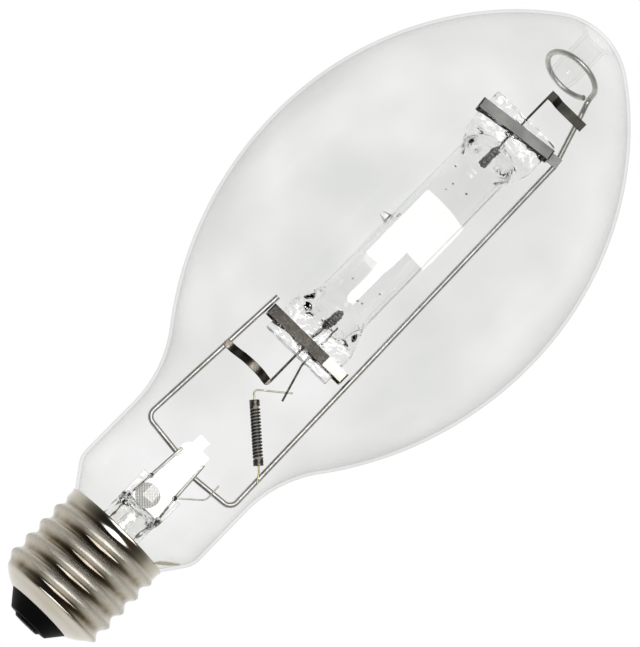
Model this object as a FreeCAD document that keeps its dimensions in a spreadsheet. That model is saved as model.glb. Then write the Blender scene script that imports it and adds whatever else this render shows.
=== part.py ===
import FreeCAD, Part
import math
import os
from types import SimpleNamespace

import Sketcher
from FreeCAD import Placement, Rotation, Vector

# A clear high-pressure mercury discharge lamp with a mogul screw base. A blown glass bulb holds a quartz
# arc tube between two nickel straps, on a wire frame that two lead rods carry from a pressed glass stem.
# The lamp stands on its base: the origin is the middle of the centre contact's flat face, +Z runs along
# the lamp towards the dome, +X points at the long frame wire and -Y at the broad faces of the pinches.

doc = FreeCAD.newDocument("discharge_lamp")
sheet = doc.addObject("Spreadsheet::Sheet", "sizes")

# Driving sizes in millimetres and degrees. A rise, drop, reach or depth is measured from the piece or
# edge that it names, so that what stands above a changed size moves with it.
DRIVING_SIZES = {
    "Screw base": {
        "contact_face_radius": 4.4,
        "contact_radius": 5.0,
        "contact_height": 0.9,
        "eyelet_radius": 2.2,
        "eyelet_bore": 1.0,
        "eyelet_reach": 1.0,
        "insulator_tip_radius": 7.2,
        "insulator_rounding": 0.8,
        "insulator_rise": 0.5,
        "shell_wall": 0.35,
        "lip_step": 6.2,
        "lip_height": 5.85,
        "lip_curve_height": 5.75,
        "thread_root_radius": 17.85,
        "thread_depth": 1.65,
        "thread_pitch": 6.35,
        "thread_length": 24.0,
        "thread_run_out": 3.2,
        "first_crest_rise": 5.0,
        "collar_step": 1.05,
        "collar_height": 5.2,
        "rim_flare": 0.3,
        "cement_thickness": 1.1,
        "cement_depth": 1.2,
        "cement_gap_angle": 12,
        "side_joint_angle": -30,
        "solder_radius": 1.1,
        "solder_tail": 6.5,
        "tail_foot_radius": 0.8,
        "tail_tip_radius": 0.3,
    },
    "Bulb": {
        "glass_wall": 1.0,
        "seal_depth": 2.0,
        "seal_bend": 3.0,
        "shoulder_depth": 3.0,
        "shoulder_spread": 0.7213,
        "shoulder_bend": 8.0,
        "neck_radius": 25.2,
        "flare_radius": 43.0,
        "side_radius": 124.0,
        "belly_radius": 58.6,
        "neck_to_belly": 124.1,
        "upper_radius": 118.0,
        "dome_radius": 26.0,
        "dimple_radius": 3.8,
        "dimple_lip": 2.6,
        "dimple_depth": 13.96,
    },
    "Stem": {
        "stem_radius": 7.5,
        "stem_flare_length": 6.0,
        "stem_length": 18.6,
        "press_length": 8.8,
        "press_taper": 5.0,
        "press_half_width": 7.9,
        "press_half_thickness": 2.5,
        "press_x": 0.3,
        "pad_radius": 4.25,
        "pad_x": -1.0,
        "pad_rise": 3.3,
        "pad_relief": 0.35,
        "pad_groove": 0.3,
        "tongue_left": -4.2,
        "tongue_right": 5.25,
        "tongue_left_length": 17.4,
        "tongue_right_length": 14.9,
        "tongue_corner": 2.2,
        "tongue_front": 1.5,
        "tongue_back": 0.58,
        "exhaust_radius": 2.0,
        "exhaust_bore": 1.2,
        "exhaust_reach": 10.0,
    },
    "Leads and frame": {
        "rod_radius": 0.62,
        "seal_wire_radius": 0.4,
        "knot_radius": 0.95,
        "outer_lead_radius": 0.35,
        "left_knot_low_x": -5.4,
        "left_knot_high_x": -4.6,
        "left_rod_top_x": -3.7,
        "left_rod_rise": 13.5,
        "right_knot_low_x": 6.7,
        "right_knot_high_x": 5.8,
        "right_rod_top_x": 5.0,
        "right_rod_rise": 14.1,
        "frame_wire_radius": 0.93,
        "frame_bend": 3.0,
        "short_foot_x": -2.6,
        "short_foot_rise": 11.2,
        "short_corner_clearance": 5.3,
        "short_corner_rise": 13.1,
        "short_wire_reach": 4.8,
        "long_foot_x": 4.0,
        "long_foot_rise": 9.1,
        "long_corner_clearance": 3.3,
        "long_corner_rise": 10.5,
        "long_elbow_clearance": 4.3,
        "long_elbow_drop": 3.5,
        "loop_radius": 9.75,
        "loop_x": 1.8,
        "loop_rise": 0.9,
        "loop_lean": 12,
        "loop_sweep": 328,
        "loop_joint": 6.0,
        "loop_leg": 0.4,
        "jumper_radius": 0.25,
        "jumper_drop": 2.4,
        "jumper_rise": 2.4,
    },
    "Arc tube": {
        "tube_x": 1.5,
        "tube_drop": 76.3,
        "tube_radius": 9.8,
        "tube_wall": 1.3,
        "tube_half_length": 55.0,
        "pinch_length": 11.5,
        "tube_shoulder": 11.5,
        "pinch_half_width": 13.1,
        "pinch_half_thickness": 2.4,
        "cavity_floor": 1.1,
        "tip_radius": 1.9,
        "tip_end_radius": 0.7,
        "tip_length": 3.2,
        "tip_drop": 1.5,
        "strap_width": 3.7,
        "strap_thickness": 0.4,
        "strap_inset": 5.0,
        "lower_strap_reach": 3.4,
        "lower_strap_shift": 0.1,
        "upper_strap_reach": 1.5,
        "upper_strap_shift": -0.3,
        "upper_strap_lean": 7,
        "strap_tab_reach": 0.8,
        "foil_half_width": 2.2,
        "foil_thickness": 0.08,
        "foil_length": 6.0,
        "foil_inset": 2.2,
        "foil_lap": 1.4,
        "electrode_rod_radius": 0.5,
        "electrode_lap": 0.4,
        "electrode_length": 14.4,
        "electrode_shift": 0.8,
        "electrode_lean": 9,
        "electrode_wire_radius": 0.5,
        "coil_start": 4.6,
        "coil_length": 7.0,
        "coil_pitch": 1.06,
        "main_lead_radius": 0.4,
        "lower_lead_reach": 13.0,
        "upper_lead_reach": 13.2,
        "starter_shift": 3.6,
        "starter_lead_radius": 0.35,
        "starter_lead_bend": 4.0,
        "starter_lead_run": 3.6,
        "starter_lead_drop": 13.0,
        "probe_radius": 0.3,
        "probe_length": 8.5,
    },
    "Connections": {
        "ribbon_thickness": 0.2,
        "ribbon_width": 2.8,
        "ribbon_rise": 0.2,
        "ribbon_weld": 3.2,
        "ribbon_cross": 4.8,
        "ribbon_bow": 3.4,
        "ribbon_turn": 3.0,
        "ribbon_lap": 1.4,
        "flag_width": 3.4,
        "flag_drop": 1.2,
        "flag_lap": 2.2,
        "flag_overhang": 2.4,
        "resistor_top_shift": 0.55,
        "resistor_top_drop": 19.9,
        "resistor_low_shift": 3.24,
        "resistor_low_rise": 15.9,
        "core_radius": 1.2,
        "cap_radius": 1.65,
        "cap_length": 2.0,
        "winding_pitch": 1.05,
        "winding_width": 0.62,
        "winding_depth": 0.42,
        "resistor_lead_radius": 0.3,
        "resistor_lead_bend": 1.2,
        "resistor_top_run": 3.4,
        "resistor_low_run": 2.2,
        "resistor_hook_drop": 4.4,
        "resistor_cross_run": 4.3,
        "resistor_cross_drop": 8.6,
    },
    "Clearances": {
        "weld_gap": 0.05,
        "glass_gap": 0.05,
        "seat_gap": 0.1,
    },
}


class Size:
    """A measure of the lamp: its number now, and the text that binds it to the sheet."""

    def __init__(self, value, text):
        self.value = float(value)
        self.text = text

    @staticmethod
    def of(other):
        return other if isinstance(other, Size) else Size(other, repr(float(other)))

    def joined(self, other, sign, value):
        return Size(value, f"({self.text} {sign} {Size.of(other).text})")

    def __add__(self, other):
        return self.joined(other, "+", self.value + Size.of(other).value)

    def __sub__(self, other):
        return self.joined(other, "-", self.value - Size.of(other).value)

    def __mul__(self, other):
        return self.joined(other, "*", self.value * Size.of(other).value)

    def __truediv__(self, other):
        return self.joined(other, "/", self.value / Size.of(other).value)

    def __neg__(self):
        return Size(0, "0") - self

    def root(self):
        return Size(math.sqrt(self.value), f"sqrt({self.text})")


mm = SimpleNamespace()
row = 0
for group, sizes in DRIVING_SIZES.items():
    row += 1
    sheet.set(f"A{row}", group)
    for alias, number in sizes.items():
        row += 1
        sheet.set(f"A{row}", alias)
        sheet.set(f"B{row}", str(number))
        sheet.setAlias(f"B{row}", alias)
        setattr(mm, alias, Size(number, f"sizes.{alias}"))
doc.recompute()

NOTHING = Size(0, "0")
FULL_TURN = Size(360, "360")

# Places that follow from the driving sizes, from the base upwards

lip_radius = mm.thread_root_radius - mm.lip_step
thread_low = mm.lip_height + mm.lip_curve_height
thread_high = thread_low + mm.thread_length
collar_radius = mm.thread_root_radius + mm.collar_step
rim_height = thread_high + mm.collar_height
insulator_top = thread_low + mm.insulator_rise
eyelet_top = insulator_top + mm.eyelet_reach

seal_radius = mm.thread_root_radius - mm.shell_wall - mm.cement_thickness
seal_height = thread_high - mm.seal_depth
shoulder_low = rim_height - mm.shoulder_depth
shoulder_high = shoulder_low + (mm.neck_radius - seal_radius) / mm.shoulder_spread
belly_height = shoulder_high + mm.neck_to_belly
neck_inside = mm.neck_radius - mm.glass_wall

# The bulb's arcs touch each other, so their centres follow from their radii

flare_x = mm.neck_radius + mm.flare_radius
side_x = mm.belly_radius - mm.side_radius
flare_height = belly_height - (
    (mm.side_radius + mm.flare_radius) * (mm.side_radius + mm.flare_radius)
    - (flare_x - side_x) * (flare_x - side_x)).root()
flare_share = mm.flare_radius / (mm.side_radius + mm.flare_radius)
upper_x = mm.belly_radius - mm.upper_radius
dome_height = belly_height + (
    (mm.upper_radius - mm.dome_radius) * (mm.upper_radius - mm.dome_radius) - upper_x * upper_x).root()
dome_share = mm.upper_radius / (mm.upper_radius - mm.dome_radius)
lip_x = mm.dimple_radius + mm.dimple_lip
lip_reach = mm.dome_radius - mm.dimple_lip
lip_z = dome_height + (lip_reach * lip_reach - lip_x * lip_x).root()
half_slope = ((mm.shoulder_spread * mm.shoulder_spread + 1).root() - 1) / mm.shoulder_spread
dimple_low = lip_z - mm.dimple_depth

stem_flare_top = seal_height + mm.stem_flare_length
press_low = seal_height + mm.stem_length
press_high = press_low + mm.press_length
exhaust_low = seal_height - mm.exhaust_reach
left_rod_top = press_high + mm.left_rod_rise
right_rod_top = press_high + mm.right_rod_rise

tube_middle = dimple_low - mm.tube_drop
pinch_inner = mm.tube_half_length - mm.pinch_length
tube_end = pinch_inner - mm.tube_shoulder
cavity_end = pinch_inner - mm.cavity_floor
foil_outer = mm.tube_half_length - mm.foil_inset
foil_inner = foil_outer - mm.foil_length
electrode_foot = foil_inner + mm.electrode_lap
strap_offset = mm.tube_half_length - mm.strap_inset
lower_strap_x = mm.tube_x + mm.lower_strap_shift
lower_strap_half_length = mm.pinch_half_width + mm.lower_strap_reach
upper_strap_x = mm.tube_x + mm.upper_strap_shift
upper_strap_half_length = mm.pinch_half_width + mm.upper_strap_reach
lower_lead_low = tube_middle - mm.tube_half_length - mm.lower_lead_reach
upper_lead_high = tube_middle + mm.tube_half_length + mm.upper_lead_reach
ribbon_height = lower_lead_low + mm.ribbon_rise
flag_height = upper_lead_high - mm.flag_drop

short_corner_x = mm.short_corner_clearance - neck_inside
short_corner_height = press_high + mm.short_corner_rise
short_top_x = lower_strap_x - lower_strap_half_length - mm.frame_wire_radius - mm.weld_gap
short_top_height = tube_middle - strap_offset + mm.short_wire_reach
long_foot_height = press_high + mm.long_foot_rise
long_corner_x = neck_inside - mm.long_corner_clearance
long_corner_height = press_high + mm.long_corner_rise
long_elbow_x = mm.tube_x + mm.pinch_half_width + mm.long_elbow_clearance
long_elbow_height = tube_middle + mm.tube_half_length - mm.long_elbow_drop

resistor_top_x = mm.tube_x + mm.resistor_top_shift
resistor_top_height = tube_middle - mm.tube_half_length - mm.resistor_top_drop
resistor_low_x = long_corner_x - mm.resistor_low_shift
resistor_low_height = long_corner_height + mm.resistor_low_rise


# Sketches: outlines and wire paths, each corner bound to the sheet

def origin_plane(body, role):
    return next(feature for feature in body.Origin.OriginFeatures if feature.Role == role)


def new_sketch(body, name, role, height=NOTHING):
    """A sketch on one of the body's own planes, raised along that plane's normal."""
    sketch = body.newObject("Sketcher::SketchObject", name)
    sketch.AttachmentSupport = [(origin_plane(body, role), "")]
    sketch.MapMode = "FlatFace"
    sketch.AttachmentOffset = Placement(Vector(0, 0, height.value), Rotation())
    if height is not NOTHING:
        sketch.setExpression("AttachmentOffset.Base.z", height.text)
    return sketch


def constrain(sketch, size, kind, *where):
    """Adds a constraint that has a size, and binds it."""
    index = sketch.addConstraint(Sketcher.Constraint(kind, *where, size.value))
    if "sizes." in size.text:
        sketch.setExpression(f"Constraints[{index}]", size.text)


def arc_between(start, end, radius, side):
    """The short arc from start to end, with its centre on the left (side 1) or the right (side -1)."""
    chord = end - start
    half = chord.Length / 2
    across = Vector(-chord.y, chord.x, 0).normalize()
    centre = start + chord * 0.5 + across * (side * math.sqrt(max(radius**2 - half**2, 0)))
    first, last = (start, end) if side > 0 else (end, start)
    angles = [math.atan2(p.y - centre.y, p.x - centre.x) for p in (first, last)]
    return Part.ArcOfCircle(Part.Circle(centre, Vector(0, 0, 1), radius), *angles)


def draw_outline(sketch, corners, arcs=None, closed=True):
    """Draws runs between corners. A corner (x, y, radius) is rounded; arcs {k: (radius, side)} bends run k."""
    arcs = arcs or {}
    count = len(corners)
    points = [Vector(c[0].value, c[1].value, 0) for c in corners]
    runs = count if closed else count - 1
    bends = {}
    for k, corner in enumerate(corners):
        if len(corner) == 3:
            before = (points[k] - points[k - 1]).normalize()
            after = (points[(k + 1) % count] - points[k]).normalize()
            reach = corner[2].value * math.tan(before.getAngle(after) / 2)
            bends[k] = (points[k] - before * reach, points[k] + after * reach, before.cross(after).z)
    pieces = {}
    for k in range(runs):
        start = bends[k][1] if k in bends else points[k]
        nxt = (k + 1) % count
        end = bends[nxt][0] if nxt in bends else points[nxt]
        if k in arcs:
            radius, side = arcs[k]
            number = sketch.addGeometry(arc_between(start, end, radius.value, side), False)
            constrain(sketch, radius, "Radius", number)
            pieces[k] = (number, 1, 2) if side > 0 else (number, 2, 1)
        else:
            pieces[k] = (sketch.addGeometry(Part.LineSegment(start, end), False), 1, 2)
    for k, corner in enumerate(corners):
        into = pieces.get((k - 1) % count if closed else k - 1)
        out = pieces.get(k)
        if k in bends:
            side = 1 if bends[k][2] > 0 else -1
            number = sketch.addGeometry(arc_between(*bends[k][:2], corner[2].value, side), False)
            first, last = (1, 2) if side > 0 else (2, 1)
            held = (sketch.addGeometry(Part.Point(points[k]), True), 1)
            sketch.addConstraint(Sketcher.Constraint("Tangent", into[0], into[2], number, first))
            sketch.addConstraint(Sketcher.Constraint("Tangent", number, last, out[0], out[1]))
            sketch.addConstraint(Sketcher.Constraint("PointOnObject", *held, into[0]))
            sketch.addConstraint(Sketcher.Constraint("PointOnObject", *held, out[0]))
            constrain(sketch, corner[2], "Radius", number)
        elif out is None:
            held = (into[0], into[2])
        else:
            held = out[:2]
            if into is not None:
                sketch.addConstraint(Sketcher.Constraint("Coincident", into[0], into[2], *held))
        for axis, kind, place in ((-2, "DistanceX", corner[0]), (-1, "DistanceY", corner[1])):
            if place is NOTHING:
                sketch.addConstraint(Sketcher.Constraint("PointOnObject", *held, axis))
            else:
                constrain(sketch, place, kind, -1, 1, *held)


# Ways of making a piece

def new_body(name):
    body = doc.addObject("PartDesign::Body", name)
    body.Label = name
    return body


def turned(name, corners, arcs=None, angle=None):
    """A piece of revolution: the outline in (radius, height) turned about Z, all round or by an angle."""
    body = new_body(name)
    sketch = new_sketch(body, name + "_outline", "XZ_Plane")
    draw_outline(sketch, corners, arcs)
    feature = body.newObject("PartDesign::Revolution", name + "_turn")
    feature.Profile = sketch
    feature.ReferenceAxis = (sketch, ["V_Axis"])
    if angle is not None:
        feature.setExpression("Angle", angle.text)
    return body


def bent_wire(name, points, radius, bend, y):
    """A round wire along (x, z) points in a plane of constant y, its corners bent to one radius."""
    body = new_body(name)
    path = new_sketch(body, name + "_path", "XZ_Plane", -y)
    inner = points[1:-1]
    corners = [points[0]] + [(x, z, bend) for x, z in inner] + [points[-1]]
    draw_outline(path, corners, closed=False)
    doc.recompute()
    ring = body.newObject("Sketcher::SketchObject", name + "_section")
    ring.AttachmentSupport = [(path, "Edge1")]
    ring.MapMode = "NormalToEdge"
    ring.MapPathParameter = 0
    ring.addGeometry(Part.Circle(Vector(), Vector(0, 0, 1), radius.value), False)
    ring.addConstraint(Sketcher.Constraint("Coincident", 0, 3, -1, 1))
    constrain(ring, radius, "Radius", 0)
    pipe = body.newObject("PartDesign::AdditivePipe", name + "_pipe")
    pipe.Profile = ring
    pipe.Spine = (path, [f"Edge{k + 1}" for k in range(len(path.Shape.Edges))])
    return body


def ribbon(name, plan, low, width, thickness, bend):
    """A flat strip on edge: a standing section swept along (x, y) points, the first run along +X."""
    body = new_body(name)
    path = new_sketch(body, name + "_plan", "XY_Plane", low + width / 2)
    corners = [plan[0]] + [(x, y, bend) for x, y in plan[1:-1]] + [plan[-1]]
    draw_outline(path, corners, closed=False)
    section = body.newObject("Sketcher::SketchObject", name + "_section")
    start = Vector(plan[0][0].value, plan[0][1].value, (low + width / 2).value)
    section.Placement = Placement(start, Rotation(Vector(0, 1, 0), Vector(0, 0, 1), Vector(1, 0, 0), "ZXY"))
    for axis, place in zip("xyz", (*plan[0], low + width / 2)):
        section.setExpression(f"Placement.Base.{axis}", place.text)
    x, y = thickness / 2, width / 2
    draw_outline(section, [(-x, -y), (x, -y), (x, y), (-x, y)])
    doc.recompute()
    pipe = body.newObject("PartDesign::AdditivePipe", name + "_pipe")
    pipe.Profile = section
    pipe.Spine = (path, [f"Edge{k + 1}" for k in range(len(path.Shape.Edges))])
    return body


def coil(name, corners, pitch, height):
    """A helix about Z of a closed section drawn at its foot in (radius, height)."""
    body = new_body(name)
    sketch = new_sketch(body, name + "_section", "XZ_Plane")
    draw_outline(sketch, corners)
    feature = body.newObject("PartDesign::AdditiveHelix", name + "_helix")
    feature.Profile = sketch
    feature.ReferenceAxis = (sketch, ["V_Axis"])
    feature.Mode = 0
    feature.Pitch = pitch.value
    feature.Height = height.value
    feature.setExpression("Pitch", pitch.text)
    feature.setExpression("Height", height.text)
    return body


def shaped(name, shape):
    """A piece whose form is worked out here, from sizes read off the sheet."""
    feature = doc.addObject("Part::Feature", name)
    feature.Label = name
    feature.Shape = shape
    return feature


def primitive(kind, name, **sizes):
    """A Part primitive with its measures bound to the sheet."""
    feature = doc.addObject(kind, name)
    feature.Label = name
    for key, measure in sizes.items():
        feature.setExpression(key, Size.of(measure).text)
    return feature


def stand(piece, x, y, z):
    """Places a piece by bound coordinates."""
    for axis, place in zip("xyz", (x, y, z)):
        piece.setExpression(f"Placement.Base.{axis}", Size.of(place).text)


# Section exponents for an oval, and a length that counts as none
ROUND, LENS, FLAT = 2, 3, 6
TOUCH = 1e-6


def eased(z, low, high):
    """Rises smoothly from 0 at low to 1 at high."""
    share = min(max((z - low) / (high - low), 0), 1)
    return share * share * (3 - 2 * share)


def oval(half_x, half_y, squareness, x, z):
    """A closed curve |x/a|^n + |y/b|^n = 1, from a circle (n = 2) to a bar with rounded ends."""
    count = 24
    points = []
    for k in range(count):
        turn = 2 * math.pi * k / count
        c, s = math.cos(turn), math.sin(turn)
        points.append(Vector(x + half_x * math.copysign(abs(c) ** (2 / squareness), c),
                             half_y * math.copysign(abs(s) ** (2 / squareness), s), z))
    curve = Part.BSplineCurve()
    curve.interpolate(Points=points, PeriodicFlag=True)
    return Part.Wire(curve.toShape())


def straight(section, z_end):
    """A prism from an oval section (half_x, half_y, squareness, x, z) to another height."""
    return Part.Face(oval(*section)).extrude(Vector(0, 0, z_end - section[4]))


def flattened(start, end, steps, closing=False):
    """A smooth solid between two oval sections, each step eased. A closing one is rounded off at its end."""
    sections = []
    for k in range(steps + 1):
        share = k / steps
        ease = eased(share, 0, 1)
        half_x, half_y, squareness, x = (a + (b - a) * ease for a, b in zip(start[:4], end[:4]))
        close = math.sqrt(1 - 0.85 * share ** 4) if closing else 1
        z = start[4] + (end[4] - start[4]) * share
        sections.append(oval(half_x * close, half_y * close, squareness, x, z))
    return Part.makeLoft(sections, True, False)


def joined(shape, pieces):
    """Fuses pieces one after another."""
    for piece in pieces:
        shape = shape.fuse(piece)
    return shape


def hollowed(shape, pieces):
    """Cuts pieces away one after another."""
    for piece in pieces:
        shape = shape.cut(piece)
    return shape


def rod_between(start, end, radius):
    return Part.makeCylinder(radius, (end - start).Length, start, end - start)


# Base: contact, insulator and threaded shell

turned("centre_contact", [
    (NOTHING, NOTHING),
    (mm.contact_face_radius, NOTHING),
    (mm.contact_radius, mm.contact_radius - mm.contact_face_radius),
    (mm.contact_radius, mm.contact_height),
    (mm.eyelet_radius, mm.contact_height),
    (mm.eyelet_radius, eyelet_top),
    (mm.eyelet_bore, eyelet_top),
    (mm.eyelet_bore, mm.contact_height / 2),
    (NOTHING, mm.contact_height / 2),
])


def inside_lip(share):
    """A point just inside the shell's curved lip, at a share of the curve's height."""
    spread = mm.lip_step * (1 - (1 - share) ** 2)
    radius = lip_radius + spread - mm.shell_wall * 2 - mm.seat_gap * 2
    return radius, mm.lip_height + mm.lip_curve_height * share


insulator_bore = mm.eyelet_radius + mm.glass_gap
insulator_rim = lip_radius - mm.shell_wall - mm.seat_gap - mm.glass_gap
turned("base_insulator", [
    (insulator_bore, mm.contact_height),
    (mm.insulator_tip_radius, mm.contact_height, mm.insulator_rounding),
    (insulator_rim, mm.lip_height - mm.seat_gap),
    (insulator_rim, mm.lip_height + mm.shell_wall),
    inside_lip(0.22),
    inside_lip(0.4),
    inside_lip(0.55),
    (inside_lip(0.55)[0], insulator_top),
    (insulator_bore, insulator_top),
])


def shell_radius(z, turn):
    """Outside radius of the rolled shell: its lip, a helical wave of the thread's pitch, its collar."""
    root = mm.thread_root_radius.value
    depth = mm.thread_depth.value
    low, high, run_out = thread_low.value, thread_high.value, mm.thread_run_out.value
    lip_share = min((z - mm.lip_height.value) / (low - mm.lip_height.value), 1)
    base = lip_radius.value + (root - lip_radius.value) * (1 - (1 - lip_share) ** 2)
    base += (collar_radius.value - root) * eased(z, high, high + run_out)
    depth *= eased(z, low - run_out, low) * (1 - eased(z, high, high + run_out))
    first_crest = mm.lip_height.value + mm.first_crest_rise.value
    phase = 2 * math.pi * (z - first_crest) / mm.thread_pitch.value - turn
    rim = mm.rim_flare.value * eased(z, rim_height.value - mm.rim_flare.value * 3, rim_height.value)
    return base + rim + depth * (1 + math.cos(phase)) / 2


def shell_section(turn):
    """The sheet's closed section at one angle, with its inner side a wall thickness inside the outer."""
    steps_per_turn = 8
    low, high = mm.lip_height.value, rim_height.value
    count = round((high - low) / mm.thread_pitch.value * steps_per_turn)
    outer, inner = [], []
    for k in range(count + 1):
        z = low + (high - low) * k / count
        slope = (shell_radius(z + 0.01, turn) - shell_radius(z - 0.01, turn)) / 0.02
        slope = 0 if k in (0, count) else slope
        norm = math.hypot(1, slope)
        inner_z = z + mm.shell_wall.value * slope / norm if 0 < k < count else z
        for line, r, place in ((outer, shell_radius(z, turn), z),
                               (inner, shell_radius(z, turn) - mm.shell_wall.value / norm, inner_z)):
            line.append(Vector(r * math.cos(turn), r * math.sin(turn), place))
    curves = []
    for line in (outer, inner):
        curve = Part.BSplineCurve()
        curve.interpolate(Points=line, Parameters=[k / count for k in range(count + 1)])
        curves.append(curve.toShape())
    ends = [Part.makeLine(outer[-1], inner[-1]), Part.makeLine(inner[0], outer[0])]
    return Part.Wire(Part.__sortEdges__([curves[0], ends[0], curves[1], ends[1]]))


shell_sections = [shell_section(2 * math.pi * k / 16) for k in range(16)]
shaped("screw_shell", Part.makeLoft(shell_sections, True, False, True))

cement_outside = mm.thread_root_radius - mm.shell_wall - mm.seat_gap
cement_inside = seal_radius + mm.glass_gap
cement_low = seal_height + mm.glass_wall
cement_top = rim_height - mm.cement_depth
collar_inside = collar_radius - mm.shell_wall - mm.seat_gap
cement = turned("basing_cement", [
    (cement_inside, cement_low),
    (cement_outside, cement_low),
    (cement_outside, thread_high + mm.thread_run_out * 0.4),
    (collar_inside, thread_high + mm.thread_run_out + mm.seat_gap),
    (collar_inside, cement_top),
    (cement_inside + mm.glass_gap + mm.shoulder_spread * (cement_top - shoulder_low), cement_top),
    (cement_inside, shoulder_low - mm.seal_bend / 3),
], angle=FULL_TURN - mm.cement_gap_angle)
cement.Placement = Placement(
    Vector(), Rotation(Vector(0, 0, 1), mm.side_joint_angle.value + mm.cement_gap_angle.value / 2))

# Bulb: a neck, a flare, two side arcs, a dome and a dimple, each arc tangent to the next

wall = mm.glass_wall


def bulb_side(inset):
    """Corners of one surface of the bulb, from its seal to its dimple, inset from the outside."""
    rise = inset * half_slope
    on_flare = (mm.flare_radius + inset) / (mm.flare_radius + mm.side_radius)
    on_dome = (mm.dome_radius - inset) / (mm.upper_radius - mm.dome_radius)
    on_lip = (mm.dome_radius - inset) / lip_reach
    return [
        (seal_radius - inset, seal_height),
        (seal_radius - inset, shoulder_low + rise, inset + mm.seal_bend),
        (mm.neck_radius - inset, shoulder_high + rise, mm.shoulder_bend - inset),
        (mm.neck_radius - inset, flare_height),
        (flare_x + (side_x - flare_x) * on_flare, flare_height + (belly_height - flare_height) * on_flare),
        (mm.belly_radius - inset, belly_height),
        (-upper_x * on_dome, dome_height + (dome_height - belly_height) * on_dome),
        (lip_x * on_lip, dome_height + (lip_z - dome_height) * on_lip),
        (mm.dimple_radius + inset, lip_z),
        (mm.dimple_radius + inset, dimple_low),
        (NOTHING, dimple_low - mm.dimple_radius - inset),
    ]


bulb_radii = [mm.flare_radius, mm.side_radius, mm.upper_radius, mm.dome_radius, mm.dimple_lip,
              None, mm.dimple_radius]
bulb_bends = [-1, 1, 1, 1, 1, 0, -1]
outside = bulb_side(NOTHING)
inside = bulb_side(wall)
bulb_arcs = {}
for k, (radius, side) in enumerate(zip(bulb_radii, bulb_bends)):
    if radius is not None:
        bulb_arcs[k + 3] = (radius, side)
        bulb_arcs[len(outside) + len(inside) - 5 - k] = (radius - wall * side, -side)
turned("bulb_envelope", outside + inside[::-1], bulb_arcs)

# Stem: a flared tube closed into a flat press round the two seal wires, with its exhaust tube

left_low = Vector(mm.left_knot_low_x.value, 0, press_low.value)
left_high = Vector(mm.left_knot_high_x.value, 0, press_high.value)
right_low = Vector(mm.right_knot_low_x.value, 0, press_low.value)
right_high = Vector(mm.right_knot_high_x.value, 0, press_high.value)
lead_clear = mm.stem_radius - mm.glass_wall - mm.outer_lead_radius * 2
tube_top = press_low - mm.press_taper
lead_turn = tube_top - mm.glass_wall
left_below = Vector(mm.left_knot_high_x.value, 0, lead_turn.value)
right_below = Vector(lead_clear.value, 0, lead_turn.value)


def seal_wire(low, high, extra=0.0):
    """The wire sealed in the press, with a weld knot at each end."""
    wire = rod_between(low, high, mm.seal_wire_radius.value + extra)
    for end in (low, high):
        wire = wire.fuse(Part.makeSphere(mm.knot_radius.value + extra, end))
    return wire


def turned_shape(outline):
    """A solid of revolution from an outline in (radius, height)."""
    points = [Vector(r, 0, z) for r, z in outline]
    return Part.Face(Part.makePolygon(points + points[:1])).revolve(Vector(), Vector(0, 0, 1), 360)


def tongue_shape():
    """The flat glass above the press, with its end sloping and its upper corners rounded."""
    left, right, foot = mm.tongue_left.value, mm.tongue_right.value, press_high.value - mm.glass_wall.value
    left_top, right_top = press_high + mm.tongue_left_length, press_high + mm.tongue_right_length
    front, back = -mm.tongue_front.value, mm.tongue_back.value
    corners = [(left, foot), (right, foot), (right, right_top.value), (left, left_top.value)]
    points = [Vector(x, front, z) for x, z in corners]
    plate = Part.Face(Part.makePolygon(points + points[:1])).extrude(Vector(0, back - front, 0))
    boxes = [(edge, edge.BoundBox) for edge in plate.Edges]
    across = [edge for edge, box in boxes if max(box.XLength, box.ZLength) < TOUCH]
    upper = [edge for edge in across if edge.CenterOfMass.z > press_high.value]
    return plate.makeFillet(mm.tongue_corner.value, upper)


def pad_shape():
    """The round mark that the press tool leaves on the front, with its grooves at 45 degrees."""
    radius, relief, groove = mm.pad_radius.value, mm.pad_relief.value, mm.pad_groove.value
    face = -mm.press_half_thickness.value - relief
    centre = Vector(mm.pad_x.value, face, (press_low + mm.pad_rise).value)
    pad = Part.makeCylinder(radius, relief + mm.press_half_thickness.value / 5, centre, Vector(0, 1, 0))
    spacing = groove * 3
    tilted = Placement(centre - Vector(0, relief / 2, 0), Rotation(Vector(0, 1, 0), 45))
    grooves = []
    side = int(radius / spacing)
    for k in range(-side, side + 1):
        bar = Part.makeBox(groove, relief, radius * 3, Vector(k * spacing - groove / 2, 0, -radius * 1.5))
        bar.Placement = tilted.multiply(bar.Placement)
        grooves.append(bar)
    return pad.cut(grooves)


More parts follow.
